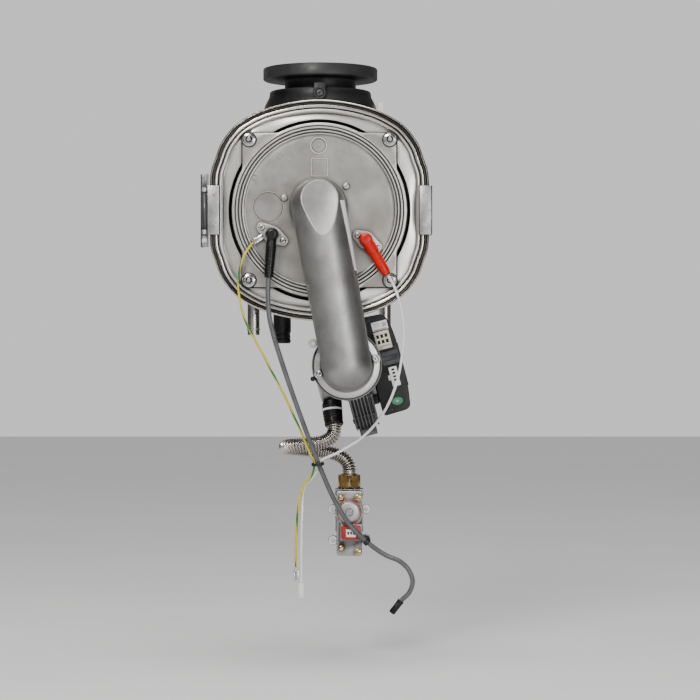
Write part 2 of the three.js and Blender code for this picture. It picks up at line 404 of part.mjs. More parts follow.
// ---------------------------------------------------------------- leads
const IGN_LEAD = [[-65.7, -208.6, -89.4], [-66.4, -210, -103], [-65.2, -211, -135], [-60, -209, -161], [-44, -201, -213], [-23, -187, -274], [-4.5, -173, -324], [-0.7, -170.5, -334], [18, -160, -378], [38, -155.4, -412], [50, -154, -425], [62, -149.4, -436.5], [74, -150, -446], [88, -153, -454.5], [106, -157, -462], [118, -159, -474], [122.5, -159.5, -489], [118, -158.5, -503], [108, -157, -513]];
const ION_LEAD = [[88.9, -208.6, -86.5], [93.5, -209.5, -93], [101, -208, -110], [108, -203, -138], [110, -198, -162], [108, -193, -190], [102, -188, -222], [92, -183, -250], [78, -177, -274], [57, -170.5, -297], [38, -167, -310], [20, -165.5, -320], [6, -165.2, -326], [0.6, -165.2, -330], [-0.4, -165.2, -336], [-9, -165.3, -350], [-20, -166, -364], [-23, -166, -400], [-24, -166, -450], [-24, -166, -489]];
const EARTH_LEAD = [[-86.6, -190.9, -43], [-91, -193, -48.5], [-98, -196, -60], [-105, -199, -87], [-104, -201, -114], [-96, -200, -145], [-85, -198, -168], [-75, -196, -186], [-58, -190, -219], [-40, -182.5, -255], [-24.5, -175.5, -290], [-11.2, -171.3, -322], [-7.2, -170.7, -329], [-7, -170.7, -337], [-12, -170.5, -350], [-22, -170.8, -364], [-29, -171, -400], [-31, -171, -440], [-31, -171, -468]];
add("ignition_lead", sweep(IGN_LEAD, LEAD_R, 8, 30), "grey");
add("ionisation_lead", sweep(ION_LEAD, WHITE_R, 8, 36), "white");
add("earth_lead", sweep(EARTH_LEAD, EARTH_R, 8, 36), "earth");
add("ignition_lead_end", cone([107.4, -156.9, -513.8], [95, -155, -530], 4.6, 4.2, 10), "rubber");
add("ionisation_lead_end", box(-27.6, -168.4, -509, -20.4, -163.6, -489.3), "white");
add("earth_lead_end", box(-34.6, -173.2, -486, -27.4, -168.8, -468.3), "zinc");
{
  const dir = new THREE.Vector3(0.1, 0.1, -1).normalize();
  const ring = (ri, ro, w) => new THREE.LatheGeometry([[ri, -w], [ro, -w], [ro, w], [ri, w], [ri, -w]].map(V2), 18).applyQuaternion(new THREE.Quaternion().setFromUnitVectors(new THREE.Vector3(0, 1, 0), dir));
  add("lead_tie", solid(ring(7.2, 8.5, 1.8).translate(-2.4, -168.7, -333)), "rubber");
  const along = new THREE.Vector3(0.76, -0.02, -0.65).normalize();
  const clip = new THREE.LatheGeometry([[3.8, -3], [5.2, -3], [5.2, 3], [3.8, 3], [3.8, -3]].map(V2), 18).applyQuaternion(new THREE.Quaternion().setFromUnitVectors(new THREE.Vector3(0, 1, 0), along));
  add("valve_clip", cut(
    union(solid(clip.translate(62.3, -149.4, -436.8)), plate(circle(5, 14, 61, -434), -145.5, -133.9), rodY(61, -434, -136, -127, 2.5, 8)),
    cone([52, -150.8, -428.6], [73, -149.2, -445.4], 3.8, 3.8, 10),
  ), "rubber");
}

export default module;
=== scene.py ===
import json, math, random
import bpy, bmesh
import numpy as np
from mathutils import Vector, Matrix, Quaternion

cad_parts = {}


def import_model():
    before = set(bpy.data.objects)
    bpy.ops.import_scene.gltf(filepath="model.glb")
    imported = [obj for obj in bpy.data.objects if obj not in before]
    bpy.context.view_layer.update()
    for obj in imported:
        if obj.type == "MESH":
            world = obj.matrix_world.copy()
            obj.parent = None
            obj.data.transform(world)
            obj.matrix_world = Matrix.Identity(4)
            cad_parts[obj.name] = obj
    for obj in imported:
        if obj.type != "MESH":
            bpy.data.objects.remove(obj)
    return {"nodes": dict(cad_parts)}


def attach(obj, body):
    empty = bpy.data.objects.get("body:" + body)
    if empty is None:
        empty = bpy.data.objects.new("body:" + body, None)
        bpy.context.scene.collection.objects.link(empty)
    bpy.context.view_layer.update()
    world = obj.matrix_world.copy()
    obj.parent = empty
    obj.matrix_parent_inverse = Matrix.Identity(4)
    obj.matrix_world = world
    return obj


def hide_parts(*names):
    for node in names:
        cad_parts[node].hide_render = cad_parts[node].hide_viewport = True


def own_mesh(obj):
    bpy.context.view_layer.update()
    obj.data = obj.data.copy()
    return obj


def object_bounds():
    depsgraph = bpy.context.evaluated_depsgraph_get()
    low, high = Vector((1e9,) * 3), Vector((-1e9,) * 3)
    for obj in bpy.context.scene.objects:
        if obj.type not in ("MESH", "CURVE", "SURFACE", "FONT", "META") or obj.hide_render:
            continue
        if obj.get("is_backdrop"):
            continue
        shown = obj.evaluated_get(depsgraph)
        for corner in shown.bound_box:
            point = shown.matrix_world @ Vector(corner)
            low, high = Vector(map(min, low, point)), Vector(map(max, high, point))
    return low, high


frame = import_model()
NODES = frame["nodes"]
def plain(b):
    return [[float(x) for x in v] for v in b]
CAD_BOX = plain(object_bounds())
MM = 0.001
random.seed(7)

# ------------------------------------------------------------------ camera
cam_data = bpy.data.cameras.new("camera")
cam = bpy.data.objects.new("camera", cam_data)
bpy.context.scene.collection.objects.link(cam)
cam.location = (0.040, -3.236, -0.183)
cam.rotation_euler = (math.radians(90), 0, 0)
cam_data.lens = 120
cam_data.sensor_width = 36
cam_data.clip_end = 50
bpy.context.scene.camera = cam

# ------------------------------------------------------------------ materials
def surf(name, c1, c2, metal=0.0, rough=0.5, rvar=0.08, scale=40, detail=6, bumps=((900, 0.15),), stretch=(1, 1, 1), edge=None, ior=None, coat=0.0, spec=None, rscale=None, dist=0.0004, sss=0.0, ramp=(0.3, 0.7)):
    m = bpy.data.materials.new(name)
    m.use_nodes = True
    nt = m.node_tree
    b = nt.nodes["Principled BSDF"]
    b.inputs["Metallic"].default_value = metal
    if ior:
        b.inputs["IOR"].default_value = ior
    if coat:
        b.inputs["Coat Weight"].default_value = coat
        b.inputs["Coat Roughness"].default_value = 0.12
    if spec is not None:
        b.inputs["Specular IOR Level"].default_value = spec
    if sss:
        b.inputs["Subsurface Weight"].default_value = sss
        b.inputs["Subsurface Scale"].default_value = 0.002
    tc = nt.nodes.new("ShaderNodeTexCoord")
    mp = nt.nodes.new("ShaderNodeMapping")
    mp.inputs["Scale"].default_value = stretch
    nt.links.new(tc.outputs["Object"], mp.inputs["Vector"])
    n1 = nt.nodes.new("ShaderNodeTexNoise")
    n1.inputs["Scale"].default_value = scale
    n1.inputs["Detail"].default_value = detail
    nt.links.new(mp.outputs[0], n1.inputs["Vector"])
    cr = nt.nodes.new("ShaderNodeValToRGB")
    cr.color_ramp.elements[0].position = ramp[0]
    cr.color_ramp.elements[1].position = ramp[1]
    cr.color_ramp.elements[0].color = (*c1, 1)
    cr.color_ramp.elements[1].color = (*c2, 1)
    nt.links.new(n1.outputs["Fac"], cr.inputs["Fac"])
    col = cr.outputs["Color"]
    # sharp convex edges take a lighter colour through pointiness: partly edge wear, partly a painted highlight along
    # the edges
    if edge:
        geo = nt.nodes.new("ShaderNodeNewGeometry")
        mr = nt.nodes.new("ShaderNodeMapRange")
        mr.inputs["From Min"].default_value = 0.51
        mr.inputs["From Max"].default_value = 0.60
        nt.links.new(geo.outputs["Pointiness"], mr.inputs["Value"])
        mx = nt.nodes.new("ShaderNodeMix")
        mx.data_type = "RGBA"
        mx.inputs[7].default_value = (*edge, 1)
        nt.links.new(mr.outputs[0], mx.inputs[0])
        nt.links.new(col, mx.inputs[6])
        col = mx.outputs[2]
    # metals: the base colour is multiplied by ambient occlusion, painted shade that darkens creases, grooves and gaps,
    # stronger on the corrugated hose
    if metal > 0.5:
        ao = nt.nodes.new("ShaderNodeAmbientOcclusion")
        ao.samples = 6
        ao.inputs["Distance"].default_value = 0.006
        pw = nt.nodes.new("ShaderNodeMath")
        pw.operation = "POWER"
        pw.inputs[1].default_value = 2.2
        nt.links.new(ao.outputs["AO"], pw.inputs[0])
        crevice_shade = nt.nodes.new("ShaderNodeMix")
        crevice_shade.data_type = "RGBA"
        crevice_shade.blend_type = "MULTIPLY"
        crevice_shade.inputs[0].default_value = 0.55 if name == "corrugated_stainless" else 0.85
        nt.links.new(col, crevice_shade.inputs[6])
        nt.links.new(pw.outputs[0], crevice_shade.inputs[7])
        col = crevice_shade.outputs[2]
    nt.links.new(col, b.inputs["Base Color"])
    n2 = nt.nodes.new("ShaderNodeTexNoise")
    n2.inputs["Scale"].default_value = rscale or scale * 3
    n2.inputs["Detail"].default_value = 5
    nt.links.new(mp.outputs[0], n2.inputs["Vector"])
    r = nt.nodes.new("ShaderNodeMapRange")
    r.inputs["From Min"].default_value = 0.3
    r.inputs["From Max"].default_value = 0.7
    r.inputs["To Min"].default_value = max(0.03, rough - rvar)
    r.inputs["To Max"].default_value = min(1, rough + rvar)
    nt.links.new(n2.outputs["Fac"], r.inputs["Value"])
    nt.links.new(r.outputs[0], b.inputs["Roughness"])
    last = None
    for s, k in bumps:
        n = nt.nodes.new("ShaderNodeTexNoise")
        n.inputs["Scale"].default_value = s
        n.inputs["Detail"].default_value = 4
        nt.links.new(mp.outputs[0], n.inputs["Vector"])
        bp = nt.nodes.new("ShaderNodeBump")
        bp.inputs["Strength"].default_value = k
        bp.inputs["Distance"].default_value = dist
        nt.links.new(n.outputs["Fac"], bp.inputs["Height"])
        if last:
            nt.links.new(last.outputs[0], bp.inputs["Normal"])
        last = bp
    if last:
        nt.links.new(last.outputs[0], b.inputs["Normal"])
    return m

M = {
    "brushed_stainless": surf("brushed_stainless", (0.62, 0.60, 0.56), (0.76, 0.74, 0.70), 1, 0.30, 0.05, 30, bumps=((420, 0.035),), stretch=(0.25, 1, 3.5), dist=0.00015, rscale=180),
    "plate_stainless": surf("plate_stainless", (0.66, 0.64, 0.61), (0.73, 0.71, 0.68), 0.85, 0.30, 0.01, 18, bumps=((700, 0.004),), stretch=(0.4, 1, 2.5), dist=0.0001, rscale=120),
    "polished_stainless": surf("polished_stainless", (0.76, 0.74, 0.70), (0.84, 0.82, 0.78), 1, 0.19, 0.01, 25, bumps=((14, 0.02),), dist=0.0002, rscale=120),
    "coil_stainless": surf("coil_stainless", (0.45, 0.44, 0.42), (0.62, 0.60, 0.57), 1, 0.28, 0.08, 40, bumps=((500, 0.08),), dist=0.0002),
    "corrugated_stainless": surf("corrugated_stainless", (0.66, 0.62, 0.57), (0.84, 0.80, 0.75), 1, 0.24, 0.05, 30, bumps=((900, 0.03),), dist=0.0002),
    "ceramic_fibre": surf("ceramic_fibre", (0.74, 0.71, 0.62), (0.86, 0.84, 0.77), 0, 0.95, 0.04, 90, bumps=((500, 0.6), (2200, 0.4)), dist=0.001),
    "black_plastic": surf("black_plastic", (0.005, 0.005, 0.005), (0.011, 0.011, 0.012), 0, 0.42, 0.08, 50, bumps=((2500, 0.12),), dist=0.0002),
    "charcoal_plastic": surf("charcoal_plastic", (0.006, 0.006, 0.0065), (0.016, 0.016, 0.0165), 0, 0.44, 0.10, 35, bumps=((2200, 0.18), (90, 0.05)), dist=0.0003, edge=(0.045, 0.045, 0.045), spec=0.32),
    "guard_plastic": surf("guard_plastic", (0.028, 0.032, 0.036), (0.05, 0.054, 0.06), 0, 0.42, 0.08, 50, bumps=((2500, 0.12),), dist=0.0002),
    "bracket_sheet": surf("bracket_sheet", (0.34, 0.34, 0.34), (0.48, 0.48, 0.47), 0.85, 0.42, 0.10, 55, bumps=((300, 0.10),), dist=0.0003, ramp=(0.4, 0.62)),
    "cast_aluminium": surf("cast_aluminium", (0.25, 0.24, 0.222), (0.41, 0.395, 0.372), 0.85, 0.40, 0.05, 26, detail=8, bumps=((260, 0.04), (1500, 0.10)), dist=0.0003, edge=(0.75, 0.73, 0.70), rscale=160),
    "sandcast_aluminium": surf("sandcast_aluminium", (0.28, 0.276, 0.27), (0.44, 0.435, 0.427), 0.93, 0.45, 0.04, 30, detail=8, bumps=((420, 0.06), (1800, 0.16)), dist=0.0003, edge=(0.58, 0.57, 0.56), rscale=220),
    "machined_flange": surf("machined_flange", (0.19, 0.19, 0.187), (0.29, 0.29, 0.284), 0.95, 0.36, 0.08, 40, bumps=((900, 0.14),), dist=0.0003, edge=(0.8, 0.8, 0.78)),
    "dark_casting": surf("dark_casting", (0.022, 0.023, 0.024), (0.062, 0.063, 0.066), 0.55, 0.48, 0.10, 60, bumps=((500, 0.25), (1800, 0.25)), dist=0.0005, edge=(0.26, 0.26, 0.26)),
    "valve_casting": surf("valve_casting", (0.28, 0.28, 0.28), (0.44, 0.44, 0.43), 0.8, 0.42, 0.08, 40, bumps=((600, 0.18), (1700, 0.15)), dist=0.0004, edge=(0.72, 0.72, 0.71)),
    "zinc_steel": surf("zinc_steel", (0.60, 0.61, 0.62), (0.80, 0.81, 0.81), 1, 0.22, 0.07, 150, bumps=((900, 0.08),), dist=0.0002, edge=(0.92, 0.92, 0.92)),
    "graphite": surf("graphite", (0.04, 0.04, 0.04), (0.09, 0.09, 0.09), 0.2, 0.8, 0.08, 200, bumps=((1500, 0.6),), dist=0.0006),
    "beige_ceramic": surf("beige_ceramic", (0.55, 0.49, 0.38), (0.70, 0.64, 0.52), 0, 0.38, 0.10, 120, bumps=((900, 0.12),), dist=0.0003, coat=0.2),
    "electrode_plate": surf("electrode_plate", (0.52, 0.50, 0.44), (0.68, 0.65, 0.58), 0.6, 0.36, 0.10, 120, bumps=((900, 0.15),), dist=0.0003, edge=(0.85, 0.83, 0.78)),
    "black_rubber": surf("black_rubber", (0.003, 0.003, 0.003), (0.009, 0.009, 0.009), 0, 0.34, 0.10, 70, bumps=((1400, 0.15), (120, 0.10)), dist=0.0004, spec=0.35),
    "red_silicone": surf("red_silicone", (0.46, 0.004, 0.001), (0.58, 0.009, 0.002), 0, 0.30, 0.07, 60, bumps=((1100, 0.10),), dist=0.0003, coat=0.10, spec=0.35),
    "red_plastic": surf("red_plastic", (0.38, 0.005, 0.003), (0.50, 0.010, 0.005), 0, 0.35, 0.08, 90, bumps=((1800, 0.1),), dist=0.0002),
    "cream_plastic": surf("cream_plastic", (0.62, 0.58, 0.46), (0.78, 0.74, 0.62), 0, 0.42, 0.08, 90, bumps=((1800, 0.1),), dist=0.0002, coat=0.1),
    "white_plastic": surf("white_plastic", (0.80, 0.80, 0.78), (0.91, 0.91, 0.89), 0, 0.40, 0.08, 90, bumps=((1800, 0.1),), dist=0.0002, coat=0.1),
    "brass": surf("brass", (0.32, 0.19, 0.06), (0.58, 0.38, 0.14), 1, 0.24, 0.08, 80, bumps=((700, 0.1),), dist=0.0003, edge=(0.85, 0.66, 0.34)),
    "grey_silicone": surf("grey_silicone", (0.085, 0.088, 0.092), (0.13, 0.134, 0.138), 0, 0.38, 0.08, 60, bumps=((1500, 0.08),), dist=0.0002, coat=0.1),
    "white_silicone": surf("white_silicone", (0.86, 0.86, 0.85), (0.95, 0.95, 0.94), 0, 0.36, 0.08, 60, bumps=((1500, 0.06),), dist=0.0002, coat=0.15),
    "earth_yellow": surf("earth_yellow", (0.62, 0.50, 0.002), (0.72, 0.60, 0.006), 0, 0.36, 0.08, 80, bumps=((1500, 0.06),), dist=0.0002, coat=0.15),
    "earth_green": surf("earth_green", (0.008, 0.13, 0.015), (0.015, 0.20, 0.03), 0, 0.36, 0.08, 80, bumps=((1500, 0.06),), dist=0.0002, coat=0.15),
    "label_paper": surf("label_paper", (0.92, 0.93, 0.93), (0.97, 0.97, 0.96), 0, 0.45, 0.10, 160, bumps=((900, 0.08),), dist=0.0002),
    "label_grey": surf("label_grey", (0.30, 0.31, 0.32), (0.52, 0.53, 0.54), 0, 0.5, 0.10, 500, bumps=((900, 0.08),), dist=0.0002),
    "sticker_green": surf("sticker_green", (0.02, 0.20, 0.09), (0.05, 0.32, 0.16), 0, 0.35, 0.08, 120, bumps=((900, 0.08),), dist=0.0002),
    "flange_casting": surf("flange_casting", (0.10, 0.10, 0.102), (0.19, 0.19, 0.192), 0.7, 0.42, 0.1, 60, bumps=((500, 0.2),), dist=0.0004, edge=(0.4, 0.4, 0.4)),
    # dark brown steel: painted shade for the rim's groove and the door's engraved lines
    "groove_shade_steel": surf("groove_shade_steel", (0.15, 0.13, 0.11), (0.24, 0.215, 0.185), 0.95, 0.34, 0.05, 12, bumps=((300, 0.03),), dist=0.0002),
    "bracket_dark": surf("bracket_dark", (0.075, 0.075, 0.078), (0.13, 0.13, 0.132), 0.6, 0.42, 0.1, 50, bumps=((300, 0.10),), dist=0.0003, edge=(0.35, 0.35, 0.35)),
    # near-black steel: painted shade in the recess round the door and in the gap round the studs
    "recess_shade_steel": surf("recess_shade_steel", (0.030, 0.029, 0.027), (0.075, 0.07, 0.065), 0.8, 0.45, 0.1, 60, bumps=((400, 0.2),), dist=0.0003),
    # near black: painted shade in holes, gaps and recesses
    "hole_shade_black": surf("hole_shade_black", (0.004, 0.004, 0.004), (0.010, 0.010, 0.010), 0, 0.7, 0.1, 200, bumps=((900, 0.1),), dist=0.0002),
}

# ------------------------------------------------------------------ mesh helpers (millimetres in, metres out)
def obj_from(name, verts, faces, mat, angle=35, mats=None, index=None):
    me = bpy.data.meshes.new(name)
    me.from_pydata([tuple(c * MM for c in v) for v in verts], [], faces)
    me.validate()
    bm = bmesh.new()
    bm.from_mesh(me)
    bmesh.ops.remove_doubles(bm, verts=bm.verts, dist=1e-6)
    bmesh.ops.recalc_face_normals(bm, faces=bm.faces)
    bm.to_mesh(me)
    bm.free()
    o = bpy.data.objects.new(name, me)
    bpy.context.scene.collection.objects.link(o)
    for m in (mats or [mat]):
        me.materials.append(M[m])
    shade(o, angle)
    return o

def shade(o, angle=35):
    o.data.shade_smooth()
    o.data.set_sharp_from_angle(angle=math.radians(angle))

def bake(o):
    """applies the object's modifiers"""
    dg = bpy.context.evaluated_depsgraph_get()
    me = bpy.data.meshes.new_from_object(o.evaluated_get(dg), depsgraph=dg)
    old = o.data
    o.modifiers.clear()
    o.data = me
    if old.users == 0:
        bpy.data.meshes.remove(old)
    return o

def bevel(o, w=0.4, seg=2, angle=30, shade_angle=40):
    b = o.modifiers.new("bevel", "BEVEL")
    b.width = w * MM
    b.segments = seg
    b.limit_method = "ANGLE"
    b.angle_limit = math.radians(angle)
    b.use_clamp_overlap = True
    bake(o)
    shade(o, shade_angle)
    return o

def boolean(a, b, op="DIFFERENCE", keep=False):
    m = a.modifiers.new("b", "BOOLEAN")
    m.operation = op
    m.solver = "EXACT"
    m.object = b
    bake(a)
    if not keep:
        bpy.data.objects.remove(b)
    return a

def join(name, objs, angle=35, reshade=False):
    mats = []
    bm = bmesh.new()
    for o in objs:
        idx = []
        for s in o.data.materials:
            if s not in mats:
                mats.append(s)
            idx.append(mats.index(s))
        start = len(bm.faces)
        bm.from_mesh(o.data)
        bm.faces.ensure_lookup_table()
        for f in bm.faces[start:]:
            f.material_index = idx[f.material_index] if idx else 0
    me = bpy.data.meshes.new(name)
    bm.to_mesh(me)
    bm.free()
    for m in mats:
        me.materials.append(m)
    for o in objs:
        bpy.data.objects.remove(o)
    r = bpy.data.objects.new(name, me)
    bpy.context.scene.collection.objects.link(r)
    if reshade:
        shade(r, angle)
    return r

def put(o, nodes=(), body="module"):
    if isinstance(nodes, str):
        nodes = [nodes]
    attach(o, body)
    if nodes:
        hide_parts(*nodes)
    return o

def loft(name, rings, mat, closed_v=False, cap=True, angle=35):
    n = len(rings[0])
    verts = [tuple(p) for r in rings for p in r]
    faces = []
    k = len(rings)
    for j in range(k if closed_v else k - 1):
        a, b = j * n, ((j + 1) % k) * n
        for i in range(n):
            i2 = (i + 1) % n
            faces.append((a + i, a + i2, b + i2, b + i))
    if cap and not closed_v:
        faces.append(tuple(range(n)))
        faces.append(tuple((k - 1) * n + i for i in range(n)))
    return obj_from(name, verts, faces, mat, angle)

AX = {"y": lambda a, b, h: (a, h, b), "z": lambda a, b, h: (a, b, h), "x": lambda a, b, h: (h, a, b)}
def lathe(name, profile, cx, cz, mat, axis="y", n=64, closed=False, angle=35, arc=None):
    """profile [radius, height]; centre given in the two other axes"""
    rings = []
    for r, h in profile:
        ring = []
        for i in range(n):
            t = 2 * math.pi * i / n
            ring.append(AX[axis](cx + r * math.cos(t), cz + r * math.sin(t), h))
        rings.append(ring)
    return loft(name, rings, mat, closed_v=closed, cap=not closed, angle=angle)

def prism(name, pts, y0, y1, mat, bev=0.0, seg=2, holes=(), xform=None, angle=35):
    """outline in X-Z, thickness along Y"""
    verts = [(x, y0, z) for x, z in pts] + [(x, y1, z) for x, z in pts]
    n = len(pts)
    faces = [tuple(range(n)), tuple(range(2 * n - 1, n - 1, -1))] + [(i, (i + 1) % n, n + (i + 1) % n, n + i) for i in range(n)]
    o = obj_from(name, verts, faces, mat, angle)
    for hx, hz, hr in holes:
        boolean(o, lathe("cutter", [(hr, min(y0, y1) - 3), (hr, max(y0, y1) + 3)], hx, hz, mat, n=32))
    if bev:
        bevel(o, bev, seg)
    if xform is not None:
        o.data.transform(xform)
    return o

def boxo(name, lo, hi, mat, bev=0.0, seg=2, xform=None):
    x0, y0, z0 = lo; x1, y1, z1 = hi
    return prism(name, [(x0, z0), (x1, z0), (x1, z1), (x0, z1)], y0, y1, mat, bev, seg, xform=xform)

def circ(r, n=48, cx=0, cz=0, ph=0):
    return [(cx + r * math.cos(ph + 2 * math.pi * i / n), cz + r * math.sin(ph + 2 * math.pi * i / n)) for i in range(n)]

def rrect(hw, hh, r, n=6, cx=0, cz=0):
    out = []
    for sx, sz, a0 in ((1, 1, 0), (-1, 1, 90), (-1, -1, 180), (1, -1, 270)):
        for i in range(n + 1):
            a = math.radians(a0 + 90 * i / n)
            out.append((cx + sx * (hw - r) + r * math.cos(a), cz + sz * (hh - r) + r * math.sin(a)))
    return out

def hull2(pts):
    p = sorted(pts)
    def half(q):
        h = []
        for c in q:
            while len(h) > 1 and (h[-1][0] - h[-2][0]) * (c[1] - h[-2][1]) - (h[-1][1] - h[-2][1]) * (c[0] - h[-2][0]) <= 0:
                h.pop()
            h.append(c)
        return h[:-1]
    return half(p) + half(p[::-1])

def catmull(points, per=12):
    """centripetal Catmull-Rom through the points"""
    P = [np.array(p, float) for p in points]
    P = [2 * P[0] - P[1]] + P + [2 * P[-1] - P[-2]]
    out = []
    for i in range(1, len(P) - 2):
        p0, p1, p2, p3 = P[i - 1:i + 3]
        t0 = 0
        t1 = t0 + max(1e-6, np.linalg.norm(p1 - p0)) ** 0.5
        t2 = t1 + max(1e-6, np.linalg.norm(p2 - p1)) ** 0.5
        t3 = t2 + max(1e-6, np.linalg.norm(p3 - p2)) ** 0.5
        for t in np.linspace(t1, t2, per, endpoint=False):
            a1 = (t1 - t) / (t1 - t0) * p0 + (t - t0) / (t1 - t0) * p1
            a2 = (t2 - t) / (t2 - t1) * p1 + (t - t1) / (t2 - t1) * p2
            a3 = (t3 - t) / (t3 - t2) * p2 + (t - t2) / (t3 - t2) * p3
            b1 = (t2 - t) / (t2 - t0) * a1 + (t - t0) / (t2 - t0) * a2
            b2 = (t3 - t) / (t3 - t1) * a2 + (t - t1) / (t3 - t1) * a3
            out.append((t2 - t) / (t2 - t1) * b1 + (t - t1) / (t2 - t1) * b2)
    out.append(P[-2])
    return np.array(out)

def resample(pts, step):
    d = np.r_[0, np.cumsum(np.linalg.norm(np.diff(pts, axis=0), axis=1))]
    n = max(2, int(round(d[-1] / step)) + 1)
    s = np.linspace(0, d[-1], n)
    return np.stack([np.interp(s, d, pts[:, k]) for k in range(3)], 1), s

def length_of(pts):
    return float(np.linalg.norm(np.diff(np.array(pts), axis=0), axis=1).sum())

def tube(name, pts, radius, mat, n=24, cap=True, angle=50, mats=None, stripe=None, twist=0.0, s=None):
    """radius: number, list or function of the arc length"""
    pts = np.array(pts, float)
    if s is None:
        s = np.r_[0, np.cumsum(np.linalg.norm(np.diff(pts, axis=0), axis=1))]
    T = np.gradient(pts, axis=0)
    T /= np.linalg.norm(T, axis=1)[:, None]
    ref = np.array([0, 1.0, 0]) if abs(T[0][1]) < 0.9 else np.array([1.0, 0, 0])
    N = ref - T[0] * ref.dot(T[0]); N /= np.linalg.norm(N)
    rings = []
    for i, p in enumerate(pts):
        N = N - T[i] * N.dot(T[i]); N /= np.linalg.norm(N)
        B = np.cross(T[i], N)
        r = radius(s[i]) if callable(radius) else (radius[i] if hasattr(radius, "__len__") else radius)
        rings.append([tuple(p + r * (math.cos(2 * math.pi * k / n) * N + math.sin(2 * math.pi * k / n) * B)) for k in range(n)])
    o = loft(name, rings, mat, cap=cap, angle=angle)
    if mats:
        o.data.materials.clear()
        for m in mats:
            o.data.materials.append(M[m])
        for f in o.data.polygons:
            if f.index < (len(pts) - 1) * n:
                j, k = divmod(f.index, n)
                f.material_index = 1 if ((k / n + twist * s[j]) % 1.0) < stripe else 0
    return o

def remesh(o, voxel=1.0, smooth=3, factor=0.5):
    m = o.modifiers.new("r", "REMESH")
    m.mode = "VOXEL"
    m.voxel_size = voxel * MM
    m.use_smooth_shade = True
    if smooth:
        k = o.modifiers.new("s", "SMOOTH")
        k.factor = factor
        k.iterations = smooth
    bake(o)
    o.data.shade_smooth()
    return o

def refine(node, mat, w=0.35, body="module", name=None, seg=2, slot=None, dissolve=4):
    """the CAD shape with its triangles merged, its edges rounded and a finished surface"""
    src = NODES[node]
    me = src.data.copy()
    bm = bmesh.new()
    bm.from_mesh(me)
    bmesh.ops.remove_doubles(bm, verts=bm.verts, dist=1e-6)
    bmesh.ops.dissolve_limit(bm, angle_limit=math.radians(dissolve), verts=bm.verts, edges=bm.edges)
    bmesh.ops.recalc_face_normals(bm, faces=bm.faces)
    bm.to_mesh(me)
    bm.free()
    me.materials.clear()
    me.materials.append(M[mat])
    o = bpy.data.objects.new(name or node + "_detail", me)
    bpy.context.scene.collection.objects.link(o)
    if w:
        bevel(o, w, seg, angle=34, shade_angle=42)
    else:
        shade(o, 42)
    return put(o, node, body)

